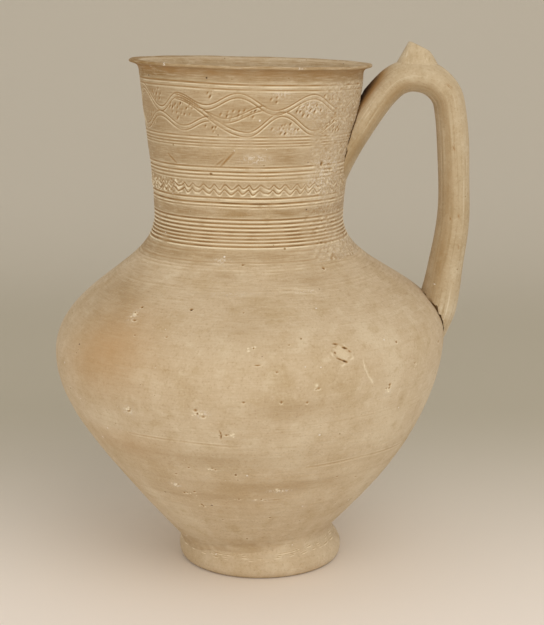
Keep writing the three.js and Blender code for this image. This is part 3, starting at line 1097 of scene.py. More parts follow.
@dataclass
class Bowl(TurnedPiece):
    """The lower body: floor and wall up to the seam under the belly, trimmed with a turning tool."""

    row_spacing: float = 0.7
    rasp: float = 0.04
    turning_fade: float = 16.0
    turning_slant: float = 0.012
    turning_height: float = 0.035
    turning_soil: float = 0.08
    drag_height: float = 0.04

    name = "thrown_bowl"
    nodes = ("lower_body", "belly_luting")
    TURNING: ClassVar[HandWave] = HandWave(seed=21, lobes=1, pitch=2.4, waves=24)
    DRAGS: ClassVar[HandWave] = HandWave(seed=22, lobes=6, pitch=4.0, waves=20)
    marks = (
        Pit(-5.2, 74.6, 0.7, 0.9, 0.7), Pit(-12.5, 78.7, 1.2, 0.9, 0.35, 0.5),
        Pit(-20.5, 77.9, 0.7, 0.6, 0.4, 0.8), Pit(-29.0, 63.7, 1.1, 1.0, -0.5, 0.0),
        Pit(-22.2, 60.5, 0.9, 0.7, 0.5, 0.8), Pit(-21.0, 50.6, 0.8, 0.6, 0.4, 0.7),
        Pit(8.2, 43.1, 0.8, 0.7, 0.4, 0.8), Pit(-14.0, 40.9, 0.7, 0.6, 0.3, 0.6),
        Pit(31.3, 68.2, 0.8, 0.6, 0.4, 0.7), Pit(41.0, 64.8, 0.8, 0.6, 0.3, 0.6),
        Pit(-26.3, 72.2, 0.8, 0.7, 0.4, 0.7), Pit(112.0, 70.0, 1.0, 0.8, 0.5),
        Pit(150.0, 58.0, 0.8, 0.9, 0.5), Pit(-160.0, 80.0, 1.2, 0.9, 0.5),
        Pit(-118.0, 49.0, 0.9, 0.7, 0.4),
        Scratch((5.0, 56.6), (12.0, 57.2), 0.5, 0.25, 0.2),
        Scratch((-38.0, 96.2), (-21.5, 95.4), 0.5, 0.12, 0.15, 0.6),
        Scratch((-21.5, 95.4), (-4.0, 93.0), 0.5, 0.12, 0.15, 0.6),
        Scratch((18.0, 77.6), (38.0, 78.6), 0.5, 0.12, 0.2, 0.5),
        Scratch((38.0, 78.6), (62.0, 76.5), 0.5, 0.12, 0.2, 0.5),
        *crumbs(81, -29.0, 63.7, 1.6, 1.0, 7), *crumbs(82, -24.5, 59.0, 2.0, 1.2, 8),
        *crumbs(83, -21.2, 50.2, 1.6, 1.0, 6), *crumbs(84, -12.4, 78.2, 1.2, 0.8, 6),
        *crumbs(85, 10.0, 63.4, 1.4, 0.8, 6), *crumbs(86, 3.0, 57.4, 1.6, 0.5, 4),
        *crumbs(87, -5.8, 57.5, 1.2, 0.6, 4),
    )
    patches = {
        Tone.STAIN: (
            Patch(10.0, 65.5, 26.0, 3.6, 0.36), Patch(-25.0, 58.0, 22.0, 3.0, 0.30),
            # The patch low on the left at level 20 is painted shade in the crease over the foot
            Patch(-20.0, 84.0, 30.0, 4.0, 0.30), Patch(-30.0, 20.0, 45.0, 5.0, 0.30),
            Patch(170.0, 62.0, 45.0, 7.0, 0.5)),
        Tone.BLOOM: (
            Patch(10.0, 63.1, 4.0, 1.0, 0.8), Patch(-29.0, 63.7, 2.0, 1.4, 0.8),
            Patch(3.7, 56.7, 5.0, 0.8, 0.5)),
        Tone.BLUSH: (
            Patch(-42.0, 88.0, 16.0, 10.0, 0.30), Patch(0.0, 60.0, 36.0, 15.0, 0.16)),
        Tone.RIDGE: (Patch(52.0, 92.0, 22.0, 34.0, 0.22),),
    }

    def profile(self) -> list[Point]:
        """Radius and level of the bowl's outline, from the axis under the floor to the axis above it."""
        form = self.form
        floor = form.base_lift + form.floor_thickness
        outer = form.rows(form.base_lift, form.belly_seam, self.row_spacing)
        inner = form.inner_rows(form.base_lift, form.belly_seam, form.body_wall, self.inner_spacing)
        wall = [(radius, level) for radius, level in inner if level > floor + form.body_wall / 2]
        corner = (wall[-1][0] - form.body_wall, floor)
        return [(0.0, form.base_lift), *outer, *wall, corner, (0.0, floor)]

    def tooling(self, relief: Relief, angle: Array, level: Array) -> None:
        """Adds the fine rings of the turning tool, and the grit that it dragged."""
        share = 1.0 - smoothstep(level, self.form.belly_seam - self.turning_fade, self.form.belly_seam)
        rings = self.TURNING.at(angle, level + self.turning_slant * angle)
        drags = self.DRAGS.at(angle, level)
        relief.height += share * (self.turning_height * rings + self.drag_height * drags)
        relief.tones[Tone.STAIN] += self.turning_soil * share * np.clip(-rings, 0.0, 1.0)


@dataclass
class Shoulder(TurnedPiece):
    """The upper body: belly and shoulder, smoothed with a wet hand."""

    rasp: float = 0.06
    rasped_from: float = 135.0
    rasped_more: float = 0.12
    soiled_from: float = 164.0
    soiled_more: float = 0.04
    line_sway: float = 0.25

    name = "thrown_shoulder"
    nodes = ("upper_body", "neck_luting")
    marks = (
        Spall(25.8, 138.2, 5.6, 3.9, 0.40, 128.0),
        Scratch((24.0, 143.0), (25.2, 142.6), 0.42, 0.35, 0.9, 0.2),
        Scratch((26.7, 140.9), (27.7, 139.9), 0.45, 0.45, 1.3, 0.2),
        Scratch((28.1, 139.0), (28.7, 138.0), 0.40, 0.30, 0.7, 0.2),
        Scratch((23.9, 139.2), (24.1, 138.5), 0.42, 0.35, 1.1, 0.6),
        Scratch((24.2, 136.3), (26.2, 134.4), 0.40, 0.40, 0.8, 0.5),
        Scratch((26.0, 134.6), (27.0, 133.5), 0.48, 0.50, 1.4, 0.6),
        Pit(-20.0, 159.6, 1.0, 0.95, 0.9, 1.3), Pit(-40.6, 155.9, 1.7, 1.8, -0.55, 0.0),
        Pit(-39.0, 153.4, 1.6, 0.8, 0.40, 0.6), Pit(-39.5, 158.6, 1.0, 0.9, 0.5, 0.9),
        Pit(-35.8, 147.7, 0.6, 0.6, 0.4, 0.7), Pit(7.3, 132.5, 0.7, 0.7, 0.5, 0.6),
        Pit(2.2, 136.3, 2.0, 0.5, 0.35, 0.6), Pit(18.0, 124.0, 1.1, 1.3, -0.35, 0.0),
        Pit(18.6, 122.4, 0.9, 0.9, 0.4, 0.5), Pit(41.9, 116.9, 1.0, 1.1, 0.45, 0.7),
        Pit(40.6, 115.4, 0.7, 0.6, 0.30, 0.5), Pit(41.6, 113.4, 1.0, 0.8, -0.35, 0.0),
        Scratch((-8.4, 102.6), (-8.0, 100.0), 0.34, 0.30, 0.8, 0.4),
        Scratch((-8.0, 100.4), (-8.3, 97.8), 0.38, 0.35, 0.9, 0.4),
        Pit(-14.5, 113.9, 1.2, 1.1, 0.5, 0.6), Pit(-13.6, 112.2, 0.9, 0.9, -0.4, 0.0),
        Pit(-12.5, 110.4, 1.1, 0.9, 0.4, 0.5), Pit(8.5, 117.1, 0.7, 1.0, 0.4, 0.8),
        Pit(15.5, 115.7, 0.7, 0.9, 0.4, 0.7), Pit(-1.5, 118.1, 0.9, 0.7, 0.4, 0.7),
        Pit(45.5, 137.9, 0.7, 0.9, 0.5, 0.8), Pit(-1.8, 158.8, 0.6, 0.6, 0.4, 0.7),
        Pit(11.2, 144.6, 0.7, 0.5, 0.35, 0.6), Pit(-24.8, 148.3, 0.8, 0.6, 0.35, 0.6),
        Pit(37.5, 174.6, 1.0, 1.2, 0.6, 0.9), Pit(70.0, 128.0, 0.9, 0.9, 0.5),
        Pit(128.0, 148.0, 1.2, 0.9, 0.5), Pit(155.0, 120.0, 0.8, 0.8, 0.6),
        Pit(-175.0, 140.0, 1.0, 0.8, 0.5), Pit(-140.0, 158.0, 0.8, 0.8, 0.5),
        Pit(-110.0, 125.0, 1.4, 1.0, 0.5), Pit(-85.0, 146.0, 0.9, 1.1, 0.4),
        Scratch((32.2, 133.1), (32.6, 128.2), 0.36, 0.20, 0.0, 0.0, 0.65),
        Scratch((32.6, 128.9), (33.9, 123.6), 0.36, 0.20, 0.0, 0.0, 0.65),
        Scratch((33.8, 124.4), (35.6, 119.8), 0.36, 0.20, 0.0, 0.0, 0.65),
        Scratch((18.0, 166.6), (26.0, 165.4), 0.45, 0.15, 0.1, 0.9),
        Scratch((12.5, 167.4), (19.0, 167.0), 0.45, 0.15, 0.1, 0.7),
        *crumbs(91, -35.3, 110.2, 1.6, 1.8, 9), *crumbs(92, -13.4, 112.2, 1.2, 1.6, 6),
        *crumbs(93, -5.6, 99.4, 1.3, 0.9, 6), *crumbs(94, 0.8, 144.2, 1.2, 1.0, 5),
        *crumbs(95, 41.2, 115.0, 1.0, 1.6, 6), *crumbs(96, -40.0, 155.0, 1.0, 1.6, 6),
        *crumbs(97, 18.2, 123.2, 0.8, 1.2, 3), *crumbs(98, 52.8, 123.0, 0.5, 2.4, 5),
    )
    patches = {
        Tone.BLUSH: (
            Patch(-43.0, 145.0, 14.0, 14.0, 0.55), Patch(-48.0, 130.0, 18.0, 16.0, 0.40),
            Patch(-150.0, 130.0, 22.0, 18.0, 0.6)),
        Tone.RIDGE: (Patch(52.0, 92.0, 22.0, 34.0, 0.22),),
        Tone.STAIN: (
            Patch(-10.8, 173.5, 7.0, 2.2, 0.55), Patch(28.5, 171.5, 12.0, 4.0, 0.35),
            Patch(12.5, 112.1, 14.0, 6.0, 0.26), Patch(-2.0, 152.0, 10.0, 9.0, 0.22),
            Patch(-58.0, 158.0, 18.0, 12.0, 0.55)),
        Tone.BLOOM: (
            Patch(22.2, 165.9, 5.0, 0.9, 0.45), Patch(-8.0, 166.0, 12.0, 1.2, 0.30),
            Patch(41.4, 113.6, 2.0, 2.0, 0.5), Patch(-12.6, 111.4, 2.4, 2.6, 0.45),
            Patch(-35.2, 110.6, 2.2, 2.8, 0.45), Patch(-5.5, 96.0, 3.4, 1.6, 0.40),
            Patch(-40.5, 155.0, 1.8, 2.4, 0.45)),
    }
    fine_lines: ClassVar[tuple[Triple, ...]] = (
        (176.3, 0.7, 0.16), (174.6, 0.6, 0.12), (168.0, 0.6, 0.10), (166.8, 0.5, 0.08),
        (103.4, 0.7, 0.05), (100.6, 0.6, 0.06),
    )

    def profile(self) -> list[Point]:
        """Radius and level of the closed wall from the seam under the belly to the one under the neck."""
        form = self.form
        outer = form.rows(form.belly_seam, form.neck_seam, self.row_spacing)
        inner = form.inner_rows(form.belly_seam, form.neck_seam, form.body_wall, self.inner_spacing)
        return [*outer, *inner]

    def tooling(self, relief: Relief, angle: Array, level: Array) -> None:
        """Adds the faint lines near the seams, which come and go round the wall."""
        seam = self.form.neck_seam
        relief.tones[Tone.STAIN] += self.soiled_more * smoothstep(level, self.soiled_from, seam)
        relief.tones[Tone.RASP] += self.rasped_more * smoothstep(level, self.rasped_from, seam)
        sway = self.line_sway * self.LUMPS.at(angle, level)
        share = np.clip(0.55 + 0.5 * self.BREAKUP.at(angle, level * 0.3), 0.1, 1.0)
        for line, width, depth in self.fine_lines:
            stroke = Stroke(width, 0.6 * depth, depth, 2.0 * depth)
            relief.add(stroke.cut(level - line + sway).faded(share))


@dataclass
class Neck(TurnedPiece):
    """The neck: ring grooves, combed waves, a two-strand plait with stippled eyes, and a turned-out lip.

    A ring line has its level, width and depth. A strand of the plait has the angle and level of each crest
    and trough. A stippled eye has its middle and half its size, in degrees and mm. A row of waves has its
    level, its swing and its start, and a grain of salt its angle and strength.
    """

    row_spacing: float = 0.40
    plain_spacing: float = 0.8
    sides: int = 240
    mark_cuts: int = 1
    rasp: float = 0.24
    wobble_height: float = 0.22
    abrasion_height: float = 0.16
    scratched_height: float = 0.22
    rim_swell: float = 0.16
    rim_wave: float = 0.2

    name = "thrown_neck"
    nodes = ("neck",)
    groove: ClassVar[Stroke] = Stroke(0.92, 0.52, 0.60, 1.0)
    comb: ClassVar[Stroke] = Stroke(0.9, 0.45, 0.16, 1.1)
    strand: ClassVar[Stroke] = Stroke(0.72, 0.34, 0.14, 0.35)
    groove_levels: ClassVar[tuple[float, ...]] = (186.4, 188.3, 190.0, 191.8, 193.7, 195.8, 197.9, 200.1)
    ring_lines: ClassVar[tuple[Triple, ...]] = (
        (270.0, 0.95, 0.42), (267.5, 0.9, 0.34),
        (243.2, 0.85, 0.32), (241.4, 0.85, 0.30), (239.9, 0.9, 0.34), (238.5, 0.85, 0.28),
        (227.6, 0.95, 0.42), (225.2, 1.0, 0.45), (223.3, 0.9, 0.38), (221.3, 0.85, 0.32),
        (211.4, 1.0, 0.50), (208.7, 1.1, 0.58), (206.9, 0.8, 0.34),
        (183.7, 0.8, 0.12), (179.0, 0.9, 0.16),
    )
    plait_upper: ClassVar[list[Point]] = [
        (-72.0, 266.0), (-52.5, 255.6), (-39.5, 263.2), (-23.0, 258.0), (-6.0, 264.4),
        (12.5, 256.2), (32.8, 264.3), (51.0, 256.4), (68.0, 264.0), (87.0, 256.0)]
    plait_lower: ClassVar[list[Point]] = [(-72.0, 246.0), (-54.0, 253.2), (-36.8, 247.0), (-21.0, 252.2)]
    plait_crossing: ClassVar[list[Point]] = [
        (-42.0, 262.4), (-1.5, 244.8), (16.0, 255.3), (35.2, 245.3), (53.0, 253.0), (70.0, 245.6)]
    plait_eye: ClassVar[list[Point]] = [(-24.0, 254.5), (-13.0, 251.6), (8.0, 258.4)]
    back_turns: ClassVar[list[float]] = [-288.0 + 18.0 * k for k in range(13)]
    strand_gap: ClassVar[float] = 2.3
    stipple_eyes: ClassVar[tuple[tuple[float, float, float, float], ...]] = (
        (31.0, 258.2, 7.5, 3.6), (19.0, 247.8, 7.5, 2.8), (-6.0, 255.2, 9.0, 3.4),
        (11.0, 262.6, 4.0, 1.6), (43.0, 264.0, 4.0, 2.0), (-38.0, 256.0, 8.0, 4.4),
        (-58.0, 263.0, 6.0, 3.0), (-64.0, 250.5, 7.0, 4.5), (-22.0, 247.4, 4.5, 1.6),
        (50.0, 248.5, 6.0, 2.6), (-20.5, 264.6, 2.5, 1.4),
    )
    stipple_spacing: ClassVar[Point] = (2.9, 2.5)
    stipple_slant: ClassVar[Point] = (0.51, 0.86)
    zigzag_rows: ClassVar[tuple[Triple, ...]] = ((218.6, 2.4, 0.0), (216.0, 2.4, 0.5))
    zigzag_waves: ClassVar[int] = 54
    garland_fullness: ClassVar[float] = 0.70
    zigzag_band: ClassVar[Point] = (211.9, 220.4)
    plait_band: ClassVar[Point] = (243.6, 266.6)
    plain_stops: ClassVar[tuple[float, ...]] = (185.0, 201.4, 205.8, 228.8, 237.4)
    salt_grains: ClassVar[tuple[Point, ...]] = (
        (-42.0, 1.0), (-39.5, 0.5), (-4.0, 0.5), (22.3, 0.9), (140.0, 0.8))
    marks = (
        Pit(-21.5, 223.9, 0.9, 1.0, 0.8, 1.0), Pit(43.2, 228.3, 1.0, 1.6, 0.9, 1.0),
        Pit(-2.8, 178.3, 1.0, 0.7, 0.5, 0.9),
        Scratch((-50.5, 232.8), (-44.0, 228.4), 0.5, 0.35, 0.6),
        Scratch((-16.2, 227.6), (-8.5, 235.4), 0.55, 0.4, 0.6),
        Scratch((-18.5, 228.3), (-13.0, 232.6), 0.5, 0.3, 0.4),
        Pit(130.0, 232.0, 1.0, 1.2, 0.6), Pit(-150.0, 204.0, 0.9, 0.9, 0.5),
        Pit(-100.0, 234.0, 1.0, 1.0, 0.5),
    )
    patches = {
        Tone.STAIN: (
            Patch(-30.0, 233.0, 26.0, 4.6, 0.30), Patch(22.0, 233.2, 12.0, 4.4, 0.50),
            Patch(-5.0, 203.4, 40.0, 2.6, 0.50), Patch(0.0, 216.0, 60.0, 4.5, 0.18),
            Patch(0.0, 255.0, 60.0, 11.0, 0.20), Patch(0.0, 193.0, 60.0, 6.0, 0.10),
            Patch(45.0, 203.4, 30.0, 2.6, 0.30), Patch(175.0, 203.4, 80.0, 2.6, 0.70),
            Patch(170.0, 233.0, 60.0, 4.4, 0.55), Patch(-55.0, 273.0, 26.0, 5.0, 0.95),
            Patch(-35.0, 182.5, 30.0, 3.0, 0.28), Patch(5.0, 182.5, 18.0, 2.2, 0.25)),
        Tone.BLOOM: (
            Patch(2.5, 232.4, 8.0, 2.2, 0.75), Patch(15.0, 266.0, 6.0, 3.0, 0.50),
            Patch(30.0, 257.5, 9.0, 5.0, 0.50), Patch(20.0, 247.0, 8.0, 3.5, 0.50),
            Patch(44.0, 222.0, 12.0, 8.0, 0.45), Patch(-8.0, 242.0, 6.0, 4.0, 0.30),
            Patch(0.0, 189.0, 14.0, 3.0, 0.25), Patch(-14.0, 179.5, 5.0, 1.5, 0.40)),
    }
    WEAR: ClassVar[HandWave] = HandWave(seed=31, lobes=30, pitch=12.0, waves=30)
    WOBBLE: ClassVar[HandWave] = HandWave(seed=32, lobes=7, pitch=60.0)
    ABRASION: ClassVar[HandWave] = HandWave(seed=33, lobes=150, pitch=1.8, waves=40)
    RIM: ClassVar[HandWave] = HandWave(seed=34, lobes=14, pitch=400.0, waves=20)

    def profile(self) -> list[Point]:
        """Radius and level of the neck's outline: up the outside, over the lip and down the inside."""
        form = self.form
        stops = (form.neck_seam, *self.plain_stops, form.neck_top)
        outer = [(float(form.radius(form.neck_seam)), form.neck_seam)]
        for stretch, (low, high) in enumerate(zip(stops, stops[1:])):
            spacing = self.row_spacing if stretch % 2 else self.plain_spacing
            outer += form.rows(low, high, spacing)[1:]
        inside = form.inner_rows(form.neck_seam, form.neck_top, form.neck_wall, self.inner_spacing)
        edge = form.lip_edge / 2
        bottom = form.rim - form.lip_edge
        under = bezier(outer[-1], (form.neck_top_radius, bottom - 1.3),
                       (form.neck_top_radius + 0.6, bottom - 1.0),
                       (form.lip_radius - edge, bottom), 12)[1:]
        turn = np.radians(np.linspace(-90.0, 90.0, 9))[1:]
        round_edge = np.stack([form.lip_radius - edge + edge * np.cos(turn),
                               form.rim - edge + edge * np.sin(turn)], axis=1)
        over = bezier(tuple(round_edge[-1]), (form.neck_top_radius, form.rim + 0.2),
                      (inside[0][0], form.rim - 1.0), (inside[0][0], inside[0][1] + 1.0), 8)[1:]
        lip = np.concatenate([under, round_edge, over]).tolist()
        return [*outer, *lip, *inside]

    def refine(self, bm: Shape) -> None:
        """Splits the drawn bands into narrow faces, more so in front, then the faces near the marks."""
        split = {1: [], 2: [], 3: []}
        for edge in bm.edges:
            low, high = sorted(vert.co.z for vert in edge.verts)
            on_face = edge.verts[0].co.xy.length > float(self.form.radius(low)) - FACE_SLACK
            if not on_face or high - low > 1e-3:
                continue
            in_front = sum(vert.co.y for vert in edge.verts) < 0.0
            for (start, end), cuts in ((self.plait_band, 2), (self.zigzag_band, 3)):
                if start < low < end:
                    split[cuts if in_front else 1].append(edge)
        for cuts, edges in split.items():
            bmesh.ops.subdivide_edges(bm, edges=edges, cuts=cuts)
        super().refine(bm)

    @staticmethod
    def away_side_share(angle: Array, full: float, none: float) -> Array:
        """How strongly the side away from the handle is darkened, fading out between two angles in front.
        """
        return span(angle, -180.0, -130.0, full, none)

    def shape_rim(self, at: Polar, tones: dict[Tone, Array]) -> Polar:
        """Makes the lip a little uneven by hand, paints shade under it and leaves grains of salt on its
        edge.

        Args:
            at: Places on the piece before it leans.
            tones: The tones there, which change on the lip and inside the mouth.

        Returns:
            The places on the uneven lip.
        """
        form = self.form
        bottom = form.rim - form.lip_edge
        under = (at.level > form.neck_top) & (at.level < bottom + 0.2)
        under &= at.radius > form.neck_top_radius - 0.5
        lip = (at.level > bottom) & (at.radius > form.neck_top_radius)
        salty = lip & (at.radius > form.lip_radius - 1.4)
        # Inside the mouth is darkened, partly as soot and partly as painted shade
        mouth = (at.level > form.neck_top - 30.0) & (at.radius < form.radius(at.level) - 2.0)
        # Painted shade under the lip, deepening towards its edge
        shade = 0.40 * smoothstep(at.level, form.neck_top + 2.0, form.neck_top + 4.6)
        shade *= np.clip(0.7 + 0.4 * self.WEAR.at(at.angle, at.level), 0.0, 1.0)
        # The lip is darkened, more on the side away from the handle; on its underside this is painted
        # shade
        darkening = 0.50 + 0.30 * self.away_side_share(at.angle, -60.0, -20.0)
        darkening += 0.10 * self.RIM.at(3.0 * at.angle, at.level)
        salt = sum(share * hump(at.angle, angle, 0.45) for angle, share in self.salt_grains)
        for tone, where, values in ((Tone.HOLLOW, under, shade), (Tone.STAIN, under | lip, darkening),
                                    (Tone.STAIN, mouth, 0.30), (Tone.RASP, under | lip | mouth, 0.35),
                                    (Tone.BLOOM, salty, salt)):
            tones[tone] = np.where(where, values, tones[tone])
        share = smoothstep(at.level, form.neck_top, bottom)
        swell, wave = (share * self.RIM.at(at.angle + start, at.level) for start in (0.0, 63.0))
        return Polar(at.angle, at.radius + self.rim_swell * swell, at.level + self.rim_wave * wave)

    def tooling(self, relief: Relief, angle: Array, level: Array) -> None:
        """Cuts the grooves, rings, waves, plait and stipple, and wears them down beside the handle."""
        wobble = self.wobble_height * self.WOBBLE.at(angle, level)
        worn = span(angle, 24.0, 50.0, 80.0, 120.0)
        kept = np.clip(0.95 - 0.6 * worn + 0.48 * self.WEAR.at(angle, level), 0.10, 1.20)
        for line in self.groove_levels:
            relief.add(self.groove.cut(level - line + 0.5 * wobble).faded(np.sqrt(kept)))
        for line, width, depth in self.ring_lines:
            stroke = Stroke(0.9 * width, 0.8 * depth, 1.2 * depth, 2.0 * depth)
            relief.add(stroke.cut(level - line + wobble).faded(kept))
        self.draw_zigzag(relief, angle, level, kept)
        self.draw_plait(relief, angle, level, kept)
        self.stipple(relief, angle, level)
        rough = self.ABRASION.at(angle, level)
        relief.height += self.abrasion_height * worn * rough
        relief.tones[Tone.HOLLOW] += 0.4 * worn * smoothstep(-rough, 0.4, 1.3)
        relief.tones[Tone.RIDGE] += 0.5 * worn * smoothstep(rough, 0.3, 1.2)
        relief.tones[Tone.BLOOM] += 0.22 * worn
        # The neck is darker towards the side away from the handle
        darkening = 0.12 + 0.30 * self.away_side_share(angle, -45.0, 10.0)
        relief.tones[Tone.STAIN] += 0.22 * self.away_side_share(angle, -65.0, -20.0) + 0.26
        # Painted shade just under the lip, deepest on the side away from the handle
        relief.tones[Tone.STAIN] += darkening * smoothstep(level, self.ring_lines[0][0], self.form.neck_top)

    def draw_zigzag(self, relief: Relief, angle: Array, level: Array, kept: Array) -> None:
        """Draws the rows of combed waves, which hang like garlands and get scratchy on the left.

        Args:
            relief: The surface that they are drawn in.
            angle: Degrees round the vessel.
            level: Millimetres up.
            kept: Share of the drawing that wear has left.
        """
        turn = np.radians(angle)
        low, high = self.zigzag_band
        full = self.garland_fullness
        scratchy = span(-angle, 34.0, 50.0, 90.0, 130.0)
        unsteady = (0.8 + 1.2 * scratchy) * self.WOBBLE.at(angle * 3.0, level)
        pitch = math.tau * float(self.form.radius(self.zigzag_rows[-1][0])) / self.zigzag_waves
        for row, swing, start in self.zigzag_rows:
            phase = self.zigzag_waves * turn + start + unsteady
            hang = np.sin(phase / 2) ** 2 + 0.03
            drop = swing * (1.0 + 0.25 * self.WOBBLE.at(angle * 9.0, level))
            line = row - drop * hang ** full
            slope = drop * math.tau / pitch * full * hang ** (full - 1.0)
            gap = (level - line) / np.sqrt(1.0 + (slope * np.sin(phase) / 2) ** 2)
            furrow = self.comb.cut(gap)
            # The pale burr is kept at the troughs as a painted highlight where the waves face up
            relief.add(furrow._replace(burr=furrow.burr * hang).faded(kept))
            relief.draw(gap, 0.75 * kept)
        band = scratchy * span(level, low, low + 1.0, high - 1.0, high)
        rough = self.ABRASION.at(angle, level)
        relief.height += self.scratched_height * band * rough
        relief.tones[Tone.HOLLOW] += 0.6 * band * smoothstep(-rough, 0.2, 1.0)
        relief.tones[Tone.RIDGE] += 0.9 * band * smoothstep(rough, 0.2, 1.0)

    def draw_plait(self, relief: Relief, angle: Array, level: Array, kept: Array) -> None:
        """Draws the strands of the plait with a two-toothed comb, by hand at the front and evenly behind.

        Args:
            relief: The surface that they are drawn in.
            angle: Degrees round the vessel.
            level: Millimetres up.
            kept: Share of the drawing that wear has left.
        """
        behind = [[(turn, middle + swing * (-1) ** k) for k, turn in enumerate(self.back_turns)]
                  for middle, swing in ((260.0, 4.0), (249.6, -4.2))]
        in_front = (self.plait_upper, self.plait_lower, self.plait_crossing, self.plait_eye)
        for turns in (*in_front, *behind):
            first, last = turns[0][0], turns[-1][0]
            at = np.where(angle > last, angle - 360.0, angle)
            wave, slope = wave_through(turns, at)
            slope = slope / np.radians(self.form.radius(level))
            share = kept * span(at, first - 1.0, first + 2.0, last - 2.0, last + 1.0)
            for tooth in (-0.5, 0.5):
                gap = (level - wave - tooth * self.strand_gap) / np.sqrt(1.0 + slope ** 2)
                relief.add(self.strand.cut(gap).faded(share))
                relief.draw(gap, 0.8 * share)

    def stipple(self, relief: Relief, angle: Array, level: Array) -> None:
        """Pricks short slanting strokes into the eyes of the plait and the corners beside it.

        Args:
            relief: The surface that they are pricked in.
            angle: Degrees round the vessel.
            level: Millimetres up.
        """
        draw = np.random.default_rng(41)
        behind = [(turn, 255.0, 8.0, 3.2) for turn in self.back_turns[2:12:2]]
        radius = float(self.form.radius(255.0))
        step, row = self.stipple_spacing
        lean, upright = self.stipple_slant
        for middle, height, wide, tall in (*self.stipple_eyes, *behind):
            reach = math.radians(wide) * radius
            places = [(x + 0.5 * y, y) for y in np.arange(-tall, tall + 0.1, row)
                      for x in np.arange(-reach, reach + 0.1, step)]
            for x, y in places:
                x, y = x + draw.uniform(-0.8, 0.8), y + draw.uniform(-0.7, 0.7)
                depth, length = draw.uniform(0.2, 0.8), draw.uniform(0.6, 0.95)
                if math.hypot(x / reach, y / tall) > 1.1:
                    continue
                along = np.radians(half_turn(angle - middle)) * radius - x
                rise = level - height - y
                near = np.flatnonzero((np.abs(along) < 3.0) & (np.abs(rise) < 3.0))
                across = upright * along[near] - lean * rise[near]
                down = hump(lean * along[near] + upright * rise[near], 0.0, length)
                fall = hump(across, 0.0, 0.34) * down
                burr = hump(across, 0.8, 0.36) * down
                relief.add(Trace(-depth * fall, 1.5 * depth * fall, depth * burr), near)


